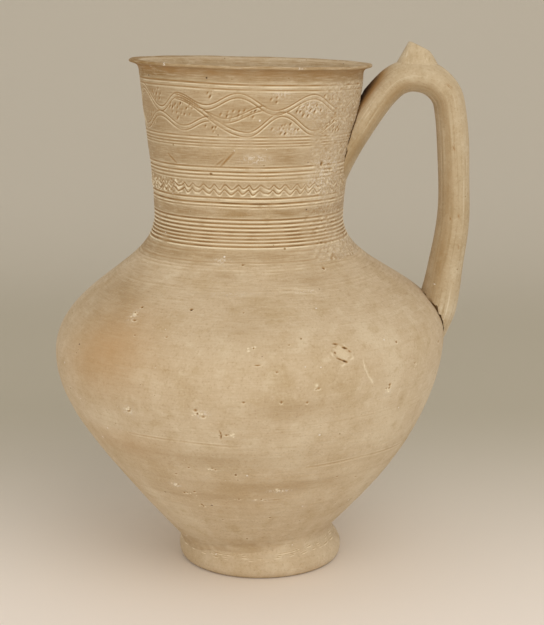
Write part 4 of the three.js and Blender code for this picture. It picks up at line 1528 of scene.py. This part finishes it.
@dataclass
class FootRing:
    """The foot: a thick turned ring, set a little to the handle's side, with a fettled edge."""

    form: VesselForm
    finish: Material
    base_radius: float = 43.0
    widest_radius: float = 46.2
    widest_level: float = 6.0
    collar_radius: float = 45.2
    collar_level: float = 19.8
    handle_side_taper: float = 4.6
    bore: float = 31.0
    inner_rise: float = 5.0
    lump_height: float = 0.3
    turning_height: float = 0.06
    edge_level: float = 12.8
    edge_rise: float = 2.4
    slip_spread: float = 3.2
    slip_sink: float = 0.12
    slip_depth: float = 3.0
    sides: int = 288

    dash: ClassVar[Stroke] = Stroke(0.5, 0.12, 0.0, 0.8)
    dash_rows: ClassVar[tuple[Point, ...]] = ((-1.6, 0.0), (-0.4, 47.0), (0.6, 95.0), (1.8, 150.0))
    TURNING: ClassVar[HandWave] = HandWave(seed=51, lobes=2, pitch=2.6, waves=20)
    LUMPS: ClassVar[HandWave] = HandWave(seed=52, lobes=7, pitch=40.0)
    BREAKUP: ClassVar[HandWave] = HandWave(seed=53, lobes=48, pitch=6.0, waves=28)

    def profile(self) -> list[Point]:
        """Radius and level of the ring's outline."""
        widest = (self.widest_radius, self.widest_level)
        low = bezier((self.base_radius, 0.0), (self.base_radius + 1.9, 0.2),
                     (self.widest_radius, 0.45 * self.widest_level), widest, 16)
        high = bezier(widest, (self.widest_radius, 10.8), (self.collar_radius - 1.0, 14.5),
                      (self.collar_radius, self.collar_level), 36)[1:]
        outer = np.concatenate([low, high]).tolist()
        return [(self.bore, 0.0), *outer, (self.bore, self.form.base_lift + self.inner_rise)]

    def taper(self, angle: Array, level: Array) -> Array:
        """How far the collar is cut back on the handle's side. Millimetres."""
        tapered = span(angle, 25.0, 75.0, 105.0, 155.0)
        return self.handle_side_taper * tapered * smoothstep(level, 7.0, self.collar_level)

    def reach(self, angle: Array, level: Array) -> Array:
        """Distance of the ring's outer face from the vessel's axis, at angles about that axis."""
        outline = np.array(self.profile()[1:-1])
        aside = FOOT_OFFSET * np.cos(np.radians(angle))
        about = angle - np.degrees(aside / self.collar_radius)
        radius = np.interp(level, outline[:, 1], outline[:, 0]) - self.taper(about, level)
        return FOOT_OFFSET * np.sin(np.radians(angle)) + np.sqrt(radius ** 2 - aside ** 2)

    def crease(self, angle: Array) -> Array:
        """Level at which the bowl comes out of the ring, at angles about the vessel's axis."""
        low = np.full(len(angle), self.form.base_lift + 0.2)
        high = np.full(len(angle), self.collar_level + 4.0)
        for _ in range(30):
            middle = (low + high) / 2
            above = self.form.radius(middle) > self.reach(angle, middle)
            low, high = np.where(above, low, middle), np.where(above, middle, high)
        return middle

    def build_slip(self) -> Piece:
        """Lays slip in the crease under the bowl, with painted shade in it that is lighter on the handle's
        side.

        Returns:
            The piece.
        """
        face = [(self.collar_radius, float(t)) for t in np.linspace(0.0, 1.0, 11)]
        bm = spun([*face, (self.collar_radius - 5.0, 0.5)], self.sides)
        mesh = mesh_from(bm, "wiped_slip")
        angle, radius, t = Polar.of(mesh)
        back = radius < self.collar_radius - 1.0
        crease = self.crease(angle)
        spread = self.slip_spread + 0.2 * self.LUMPS.at(angle * 2.0, crease)
        foot = (self.reach(angle, crease - spread) - self.slip_sink, crease - spread)
        bowl = (self.form.radius(crease + spread) - self.slip_sink, crease + spread)
        corner = (self.form.radius(crease), crease)
        radius, level = ((1 - t) ** 2 * a + 2 * t * (1 - t) * b + t ** 2 * c
                         for a, b, c in zip(foot, corner, bowl))
        radius = np.where(back, corner[0] - self.slip_depth, radius)
        set_points(mesh, Polar(angle, radius, level).points(), self.form.axis_x)
        # Painted shade in the crease under the bowl, lighter on the handle's side
        handle_side = smoothstep(np.sin(np.radians(angle)), -0.3, 0.6)
        crease_shade = (1.0 - 0.75 * handle_side) * np.clip(0.3 + 0.2 * self.BREAKUP.at(angle, level), 0.0, 1.0)
        set_tones(mesh, {Tone.STAIN: crease_shade})
        return make_object("wiped_slip", mesh, self.finish, Slot.CLAY, ("foot_luting",))

    def build(self) -> Piece:
        """Spins the ring, gives it turning marks and sets it under the bowl.

        Returns:
            The piece.
        """
        mesh = mesh_from(spun(self.profile(), self.sides), "turned_foot")
        angle, radius, level = Polar.of(mesh)
        outer = np.where(radius > self.bore + 3.0, smoothstep(level, 0.0, 2.0), 0.0)
        relief = Relief.flat(len(level))
        relief.height -= self.taper(angle, level)
        relief.height += self.lump_height * self.LUMPS.at(angle, level)
        relief.height += self.turning_height * self.TURNING.at(angle, level)
        edge = self.edge_level + self.edge_rise * smoothstep(angle, 5.0, 45.0)
        edge += 0.3 * self.LUMPS.at(angle * 2.0, level)
        for drop, start in self.dash_rows:
            dashes = smoothstep(self.BREAKUP.at(angle + start, np.zeros(len(level))), 0.0, 0.7)
            gap = level - edge + drop
            relief.add(self.dash.cut(gap).faded(dashes))
            relief.draw(gap, 0.5 * dashes)
        # Painted contact shadow along the foot's bottom edge
        relief.tones[Tone.STAIN] += 0.5 * hump(level, 0.0, 1.2)
        turned = Polar(angle, radius + outer * relief.height, level)
        set_points(mesh, turned.points(), self.form.axis_x + FOOT_OFFSET)
        set_tones(mesh, {tone: values * (outer > 0.0) for tone, values in relief.tones.items()})
        return make_object("turned_foot", mesh, self.finish, Slot.CLAY, ("foot_ring",))


@dataclass
class Handle:
    """The pulled handle: an oval strap with a soft arris, smeared on to the neck and the shoulder.

    Angles round its section are 0 on the outer side and grow towards the back of the vessel. Each pit has
    its level, its angle round the section and its size in mm.
    """

    form: VesselForm
    finish: Material
    slip: Material
    thickness: float = 17.0
    width: float = 21.0
    lip_gap: float = 14.3
    bend_radius: float = 20.0
    bend_setback: float = 3.0
    top_rise: float = 0.8
    neck_root_clearance: float = 6.8
    neck_root_slope: float = 57.0
    neck_wall_slope: float = 81.5
    neck_root_flare: float = 20.0
    neck_root_depth: float = 42.0
    neck_root_tail: float = 3.0
    neck_root_tail_length: float = 50.0
    shoulder_root_rise: float = 14.0
    shoulder_root_slope: float = 79.0
    shoulder_root_bend: float = 13.0
    shoulder_root_flare: float = 14.0
    shoulder_root_depth: float = 24.0
    shoulder_thickening: float = 4.5
    thickening_length: float = 85.0
    flare_length: float = 34.0
    arris_shift: float = 0.10
    side_roundness: float = 0.94
    lump_height: float = 0.22
    pull_height: float = 0.10
    slip_share: float = 0.93
    slip_bed: float = -1.4
    slip_face: float = 1.6
    sides: int = 96
    steps: int = 220
    slip_steps: int = 4
    line_steps: int = 40

    pits: ClassVar[tuple[Triple, ...]] = (
        (264.5, -62.0, 0.9), (233.4, -86.0, 1.0), (196.4, -70.0, 0.9), (194.7, -98.0, 0.8),
        (180.0, -60.0, 0.7), (222.0, 95.0, 0.9), (176.0, 70.0, 0.8))
    LUMPS: ClassVar[HandWave] = HandWave(seed=61, lobes=2, pitch=42.0)
    PULLS: ClassVar[HandWave] = HandWave(seed=62, lobes=14, pitch=160.0, waves=30)
    CRACK: ClassVar[HandWave] = HandWave(seed=63, lobes=26, pitch=900.0, waves=24)

    @property
    def crest(self) -> Point:
        """Place of the middle line's highest point, across from the axis and up."""
        form = self.form
        return (form.lip_radius + self.lip_gap + self.thickness / 2,
                form.rim + self.top_rise - self.thickness / 2)

    def beside_vessel(self, level: float) -> Array:
        """A place on the outer face on the handle's side."""
        point = np.array([[float(self.form.radius(level)), 0.0, level]])
        return self.form.leaned(point)[0][[0, 2]]

    @staticmethod
    def step(angle: float, length: float) -> Array:
        """A step in the handle's plane at an angle up from level."""
        return length * np.array([math.cos(math.radians(angle)), math.sin(math.radians(angle))])

    @cached_property
    def line(self) -> Array:
        """The middle line from inside the neck over the bend and down into the shoulder."""
        crest = np.array(self.crest)
        centre = crest - self.step(90.0, self.bend_radius)
        cut = math.radians(self.neck_wall_slope - self.neck_root_slope)
        drop = self.neck_root_clearance + self.thickness / math.sin(cut) / 2
        neck_root = self.beside_vessel(self.form.neck_top - drop)
        shoulder_root = self.beside_vessel(self.form.belly + self.shoulder_root_rise)
        bend = [centre + self.step(angle, self.bend_radius) for angle in (140, 115, 90, 60, 30, 0)]
        reach = crest[0] + self.bend_radius + self.bend_setback
        return smooth_line([
            neck_root - self.step(self.neck_root_slope, self.neck_root_depth),
            neck_root,
            *bend,
            (reach, (centre[1] + shoulder_root[1]) / 2),
            shoulder_root + self.step(self.shoulder_root_slope, self.shoulder_root_depth),
            shoulder_root,
            shoulder_root - self.step(self.shoulder_root_slope - self.shoulder_root_bend,
                                      self.shoulder_root_depth),
        ], self.line_steps)

    @cached_property
    def run(self) -> Array:
        """Length along the middle line at each of its points."""
        return run_along(self.line)

    @cached_property
    def turn(self) -> Array:
        """Angles in radians of the lines round the section."""
        return np.linspace(0.0, math.tau, self.sides, endpoint=False)

    @cached_property
    def degrees(self) -> Array:
        """The same angles in degrees, negative in front."""
        return half_turn(np.degrees(self.turn))

    def surface(self, along: Array, grow: float) -> Array:
        """Places on the handle's surface, in mm about the vessel's axis.

        Args:
            along: Length along the middle line, for each line of the surface.
            grow: Share of the section's size.

        Returns:
            The places.
        """
        heading = np.gradient(self.line, self.run, axis=0)
        across, up, head_x, head_z = (np.interp(along, self.run, values)
                                      for values in (*self.line.T, *heading.T))
        length = np.hypot(head_x, head_z)
        from_neck = along - self.neck_root_depth
        from_shoulder = self.run[-1] - along - self.shoulder_root_depth
        flare = self.flare
        thick = self.thickness + flare(from_shoulder, self.shoulder_thickening, self.thickening_length)
        wide = self.width + flare(from_neck, self.neck_root_flare, self.flare_length)
        wide += flare(from_shoulder, self.shoulder_root_flare, self.flare_length)
        tail = flare(from_neck + self.neck_root_tail_length / 2, self.neck_root_tail,
                     self.neck_root_tail_length)
        cosine, sine = np.cos(self.turn), np.sin(self.turn)
        outer = (0.5 + self.arris_shift) * thick * cosine
        inner = ((0.5 - self.arris_shift) * thick + tail) * cosine
        out = np.where(cosine >= 0, outer, inner) - self.arris_shift * thick
        side = wide / 2 * np.sign(sine) * np.abs(sine) ** self.side_roundness
        around = np.degrees(self.turn)
        uneven = self.lump_height * self.LUMPS.at(around, along)
        uneven += self.pull_height * self.PULLS.at(around, along)
        out = grow * out + uneven * cosine
        side = grow * side + uneven * sine
        return np.stack([across - out * head_z / length, side, up + out * head_x / length], axis=1)

    @staticmethod
    def flare(distance: Array, size: float, length: float) -> Array:
        """Extra size near a root, which dies away over a length."""
        return size * np.clip(1.0 - distance / length, 0.0, 1.0) ** 2

    def meets(self, gap: float | Array, grow: float, inside: float) -> Array:
        """Length along the handle at which each line of its surface comes to a gap from the vessel.

        Args:
            gap: Gap from the vessel's outer face, for all lines or each.
            grow: Share of the section's size.
            inside: The end of the handle that lies inside the vessel, as a length.

        Returns:
            The length for each line.
        """
        low = np.full(self.sides, inside)
        high = np.full(self.sides, self.run[-1] / 2)
        for _ in range(40):
            middle = (low + high) / 2
            within = self.form.clearance(self.surface(middle, grow)) < gap
            low = np.where(within, middle, low)
            high = np.where(within, high, middle)
        return (low + high) / 2

    def tube(self, name: str, start: Array, end: Array, steps: int, grow: float) -> Mesh:
        """Draws a ring out along the handle, from each line's start to its end, and paints shade and soil
        on it.

        Args:
            name: The mesh's name.
            start: Length at which each line of the surface starts.
            end: Length at which it ends.
            steps: Rings drawn out.
            grow: Share of the section's size.

        Returns:
            The closed tube, in the frame.
        """
        bm = bmesh.new()
        hollow, stain = (bm.verts.layers.float.new(tone.value) for tone in (Tone.HOLLOW, Tone.STAIN))
        drawn_place = bm.verts.layers.float_vector.new(DRAWN_PLACE)
        ring_place = self.thickness / 2 * np.stack([np.cos(self.turn), np.sin(self.turn)], axis=1)
        for step, ring in enumerate(drawn_rings(bm, self.sides, steps + 1)):
            along = start + (end - start) * step / steps
            places = self.surface(along, grow)
            # Painted shade in a band down each flank of the strap, towards its inner side, a little uneven
            # along it
            flank_shade = 0.52 * (0.8 + 0.35 * self.LUMPS.at(self.degrees, along))
            flank_shade *= hump(np.abs(self.degrees), 112.0, 25.0)
            soil = self.soil(along, places)
            for vert, place, shade_and_pit_soil, flank_shaded, flat, length in zip(ring, places, soil, flank_shade, ring_place, along):
                vert.co = place
                vert[hollow] = shade_and_pit_soil
                vert[stain] = flank_shaded
                vert[drawn_place] = Vector((*flat, length)) * MM
        return self.placed(bm, name)

    def soil(self, along: Array, places: Array) -> Array:
        """Painted shade on the handle under the lip beside the neck, and soil in pits on the grip.

        Args:
            along: Length along the middle line, for each line of the surface.
            places: The places themselves, in mm about the vessel's axis.

        Returns:
            The share of soil at each place.
        """
        # Painted shade on the top of the handle under the lip, fading away from the neck
        on_top = span(self.degrees, -66.0, -22.0, 50.0, 100.0)
        high = smoothstep(places[:, 2], 248.0, 258.0)
        shade_and_pit_soil = on_top * high * (1.0 - smoothstep(self.form.clearance(places), 1.0, 19.0))
        crest = int(np.argmax(self.line[:, 1]))
        for level, at, size in self.pits:
            middle = np.interp(-level, -self.line[crest:, 1], self.run[crest:])
            gap = np.hypot(along - middle, np.radians(self.degrees - at) * self.thickness / 2)
            shade_and_pit_soil = np.maximum(shade_and_pit_soil, 0.9 * hump(gap, 0.0, 0.6 * size))
        return shade_and_pit_soil

    def placed(self, bm: Shape, name: str) -> Mesh:
        """Turns a shape in mm about the vessel's axis into a mesh in the frame."""
        bmesh.ops.translate(bm, verts=bm.verts, vec=(self.form.axis_x, 0.0, 0.0))
        bmesh.ops.scale(bm, verts=bm.verts, vec=(MM, MM, MM))
        return mesh_from(bm, name)

    def build(self) -> list[Piece]:
        """Builds the handle, with cracks at the front of its roots, and the slip in the roots.

        Returns:
            The pieces.
        """
        neck_end, shoulder_end = 0.0, self.run[-1]
        ragged = self.CRACK.at(self.degrees, np.zeros(self.sides))
        neck_open = span(self.degrees, -112.0, -80.0, 20.0, 60.0)
        neck_gap = -0.5 + neck_open * (0.7 + 1.9 * smoothstep(self.degrees, -90.0, -10.0) + 0.7 * ragged)
        shoulder_open = span(self.degrees, -178.0, -150.0, -60.0, -25.0)
        shoulder_gap = -0.6 + shoulder_open * (1.3 + 0.9 * ragged)
        start = self.meets(neck_gap, 1.0, neck_end)
        end = self.meets(shoulder_gap, 1.0, shoulder_end)
        strap = self.tube("handle_clay", start, end, self.steps, 1.0)
        pieces = [make_object("pulled_handle", strap, self.finish, Slot.CLAY, ("handle",))]
        for name, node, inside in (("neck_root_slip", "upper_handle_luting", neck_end),
                                   ("shoulder_root_slip", "lower_handle_luting", shoulder_end)):
            bed = self.meets(self.slip_bed, self.slip_share, inside)
            face = self.meets(self.slip_face, self.slip_share, inside)
            mesh = self.tube(name, bed, face, self.slip_steps, self.slip_share)
            pieces.append(make_object(name, mesh, self.slip, Slot.SLIP, (node,)))
        return pieces


@dataclass
class ThumbRest:
    """The thumb rest: a fin drawn up from the crest of the handle, with its peak towards the neck.

    Its peak, heel and scar are placed across and up from the handle's crest. Its top is rounded over in
    steps, each a share of the width and of the rounding's height.
    """

    handle: Handle
    finish: Material
    half_length: float = 14.0
    foot_rise: float = -0.6
    peak: Point = (-3.4, 18.0)
    heel: Point = (8.4, 12.3)
    scar: Point = (13.0, 2.6)
    foot_half_width: float = 10.0
    top_half_width: float = 4.4
    round_height: float = 0.6
    segments: int = 64
    rings: int = 26

    rounds: ClassVar[tuple[Point, ...]] = ((0.93, 0.45), (0.78, 0.80), (0.52, 1.0), (0.2, 1.05))
    LUMPS: ClassVar[HandWave] = HandWave(seed=71, lobes=4, pitch=9.0)

    def build(self) -> Piece:
        """Draws rings up from the handle to the slanting top and rounds the top over.

        Returns:
            The piece.
        """
        turn = np.linspace(0.0, math.tau, self.segments, endpoint=False)
        foot = self.foot_rise
        front = bezier((-self.half_length, foot), (-self.half_length + 2.4, foot + 3.2),
                       (self.peak[0] - 4.8, self.peak[1] - 8.0), self.peak, self.rings)
        heel = bezier((self.half_length + 1.4, foot), (self.half_length - 0.4, foot + 3.0),
                      (self.heel[0] + 2.9, self.heel[1] - 3.4), self.heel, self.rings)
        rise = np.linspace(0.0, 1.0, self.rings)
        spread = self.foot_half_width - self.top_half_width
        half_width = self.top_half_width + spread * (1.0 - rise) ** 1.25
        bm = bmesh.new()
        rubbed = bm.verts.layers.float.new(Tone.RIDGE.value)
        drawn_place = bm.verts.layers.float_vector.new(DRAWN_PLACE)
        for step, ring in enumerate(drawn_rings(bm, self.segments, self.rings + len(self.rounds))):
            row = min(step, self.rings - 1)
            share, lift = (1.0, 0.0) if step < self.rings else self.rounds[step - self.rings]
            middle = (front[row] + heel[row]) / 2
            reach = (heel[row] - front[row]) / 2
            power = 2 / (2.0 + rise[row])
            along, side = (np.sign(wave) * np.abs(wave) ** power for wave in (np.cos(turn), np.sin(turn)))
            uneven = 1.0 + 0.025 * self.LUMPS.at(np.degrees(turn), np.full(self.segments, middle[1]))
            end_share = 1.0 - (1.0 - share) * half_width[row] / reach[0]
            along = along * end_share
            places = np.stack([middle[0] + reach[0] * along * uneven,
                               half_width[row] * side * share * uneven,
                               middle[1] + reach[1] * along + lift * self.round_height], axis=1)
            for vert, place in zip(ring, places):
                vert.co = place
                scar = np.hypot((place[0] - self.scar[0]) / 1.3, (place[2] - self.scar[1]) / 1.6)
                vert[rubbed] = 0.12 * rise[row] + 0.8 * math.exp(-scar ** 2) * (place[1] < 0.0)
                vert[drawn_place] = Vector(place) * MM
        across, up = self.handle.crest
        bmesh.ops.translate(bm, verts=bm.verts, vec=(across, 0.0, up))
        mesh = self.handle.placed(bm, "thumb_fin")
        return make_object("thumb_fin", mesh, self.finish, Slot.CLAY, ("thumb_rest", "thumb_rest_luting"))


@dataclass(frozen=True)
class StudioPaper:
    """Matt studio paper in one sweep, painted with the fall of light: pale under the ewer, in painted
    shade where it turns up, paler again above.

    The light that it throws back on the clay is nearly white, so that the paper doesn't tint the ewer.
    """

    name: str = "studio_paper"
    # Painted light and shade along the sweep: pale near, darker where the paper turns up, paler above
    near: str = "#F3E6D7"
    turn: str = "#B8AD97"
    above: str = "#C6BBA8"
    bounce: str = "#F6F3EF"
    roughness: float = 0.95
    specular_level: float = 0.1

    def material(self) -> Material:
        """Builds the paper's shader, shaded by how far along the sweep a place is.

        Returns:
            The material.
        """
        material = new_material(self.name)
        tree = material.node_tree
        run = add_node(tree, "Attribute", {}, attribute_name=SWEEP).outputs["Fac"]
        colour = linear(self.near)
        # Painted shade where the paper turns up, and paler again above it
        for low, high, over in ((1.02, 1.52, self.turn), (1.75, 2.3, self.above)):
            share = add_node(tree, "MapRange", {
                "Value": run, "From Min": low,
                "From Max": high}, interpolation_type="SMOOTHSTEP").outputs[0]
            colour = add_node(tree, "Mix", {
                0: share, 6: colour, 7: linear(over)}, data_type="RGBA").outputs[2]
        rays = add_node(tree, "LightPath", {}).outputs
        seen = rays["Is Camera Ray"]
        for kind in ("Is Glossy Ray", "Is Transmission Ray"):
            seen = add_node(tree, "Math", {0: seen, 1: rays[kind]}, operation="MAXIMUM").outputs[0]
        colour = add_node(tree, "Mix", {
            0: seen, 6: linear(self.bounce), 7: colour}, data_type="RGBA").outputs[2]
        shader = add_node(tree, "BsdfPrincipled", {
            "Base Color": colour, "Roughness": self.roughness, "Specular IOR Level": self.specular_level})
        add_node(tree, "OutputMaterial", {"Surface": shader.outputs[0]})
        return material


@dataclass
class Studio:
    """The paper sweep, the soft lights and the camera. Metres, and millimetres for the camera's place."""

    axis_x: float
    near_edge: float = -1.2
    floor_depth: float = 0.75
    sweep_radius: float = 0.8
    wall_height: float = 2.2
    half_width: float = 2.5
    room_light: float = 0.62
    lit_level: float = 0.15
    camera_distance: float = 806.1
    camera_height: float = 312.4
    camera_pitch: float = 11.78
    lens: float = 84.78
    sensor_width: float = 36.0
    shift: Point = (0.0333, -0.0110)

    def build(self) -> None:
        """Lays the paper, hangs the lights and sets up the camera."""
        self.lay_paper()
        self.hang_light("key_light", (0.70, -1.50, 1.60), 1.8, 17.5)
        self.hang_light("low_light", (-0.30, -1.75, 0.22), 1.0, 6.6)
        self.hang_light("side_light", (-1.30, -0.80, 0.45), 0.8, 1.6)
        self.set_world()
        self.set_camera()

    def lay_paper(self) -> None:
        """Makes the paper: a strip that runs along the floor and turns up behind."""
        bm = bmesh.new()
        turn_up = [(self.floor_depth + self.sweep_radius * math.sin(a),
                    self.sweep_radius * (1.0 - math.cos(a))) for a in np.linspace(0.0, math.pi / 2, 25)]
        floor = [(y, 0.0) for y in np.linspace(self.near_edge, self.floor_depth, 20)]
        path = [*floor, *turn_up[1:], (self.floor_depth + self.sweep_radius, self.wall_height)]
        verts = [bm.verts.new((-self.half_width, y, z)) for y, z in path]
        edges = [bm.edges.new(pair) for pair in zip(verts, verts[1:])]
        far, _ = drawn_on(bm, edges)
        bmesh.ops.translate(bm, verts=far, vec=(2 * self.half_width, 0.0, 0.0))
        bmesh.ops.recalc_face_normals(bm, faces=bm.faces)
        mesh = mesh_from(bm, "paper_sweep")
        line = np.array(path)
        nearest = [int(np.argmin(np.hypot(*(line - vert.co.yz).T))) for vert in mesh.vertices]
        sweep = mesh.attributes.new(SWEEP, "FLOAT", "POINT")
        sweep.data.foreach_set("value", run_along(line)[nearest].astype(np.float32))
        mesh.polygons.foreach_set("use_smooth", [True] * len(mesh.polygons))
        mesh.materials.append(StudioPaper().material())
        paper = bpy.data.objects.new("paper_sweep", mesh)
        bpy.context.scene.collection.objects.link(paper)

    def hang_light(self, name: str, place: Triple, size: float, power: float) -> None:
        """Hangs a square soft white light that looks at the ewer.

        Args:
            name: The light's name.
            place: Where it hangs.
            size: Its side.
            power: Its power in watts.
        """
        lamp = bpy.data.lights.new(name, "AREA")
        lamp.size = size
        lamp.energy = power
        light = bpy.data.objects.new(name, lamp)
        light.location = place
        aim = Vector((0.0, 0.0, self.lit_level)) - Vector(place)
        light.rotation_euler = aim.to_track_quat("-Z", "Y").to_euler()
        bpy.context.scene.collection.objects.link(light)

    def set_world(self) -> None:
        """Fills the room with even light."""
        world = bpy.data.worlds.new("studio_room")
        world.use_nodes = True
        room = world.node_tree.nodes["Background"]
        room.inputs["Color"].default_value = linear("#FFFFFF")
        room.inputs["Strength"].default_value = self.room_light
        bpy.context.scene.world = world

    def set_camera(self) -> None:
        """Sets up the camera in front of the ewer, looking a little down."""
        data = bpy.data.cameras.new("camera")
        data.sensor_width = self.sensor_width
        data.lens = self.lens
        data.shift_x, data.shift_y = self.shift
        camera = bpy.data.objects.new("camera", data)
        camera.location = Vector((self.axis_x, -self.camera_distance, self.camera_height)) * MM
        camera.rotation_euler = (math.radians(90.0 - self.camera_pitch), 0.0, 0.0)
        bpy.context.scene.collection.objects.link(camera)
        bpy.context.scene.camera = camera


def main() -> None:
    """Builds the ewer and the studio in order."""
    logging.basicConfig(level=logging.INFO, format="%(name)s %(message)s")
    bpy.context.scene.view_settings.view_transform = "Standard"
    low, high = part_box("foot_ring")
    form = VesselForm(axis_x=(low.x + high.x) / 2 / MM - FOOT_OFFSET)
    # Thrown clay: warm buff with wiping streaks that follow the wheel
    clay = BuffEarthenware("thrown_buff_clay").material()
    # Luting slip, seen only in the cracks at the handle's roots: its dark colour is painted shade in the
    # cracks
    slip = BuffEarthenware("luting_slip", body="#5E4222", pale="#7A5A32", tan="#3E2A14").material()
    # Pulled clay: a shade darker, with strong streaks along the strap
    pulled = BuffEarthenware(
        "pulled_buff_clay", body="#B9A27F", pale="#D1BF9F", tan="#A48B64",
        streak_mm=(1.3, 40.0), streak_share=0.75, cloud_mm=26.0, drawn=True).material()
    foot = FootRing(form, clay)
    foot.build()
    foot.build_slip()
    for kind in (Bowl, Shoulder, Neck):
        kind(form, clay).build()
    handle = Handle(form, pulled, slip)
    handle.build()
    ThumbRest(handle, pulled).build()
    Studio(form.axis_x).build()


if __name__ == "__main__":
    main()
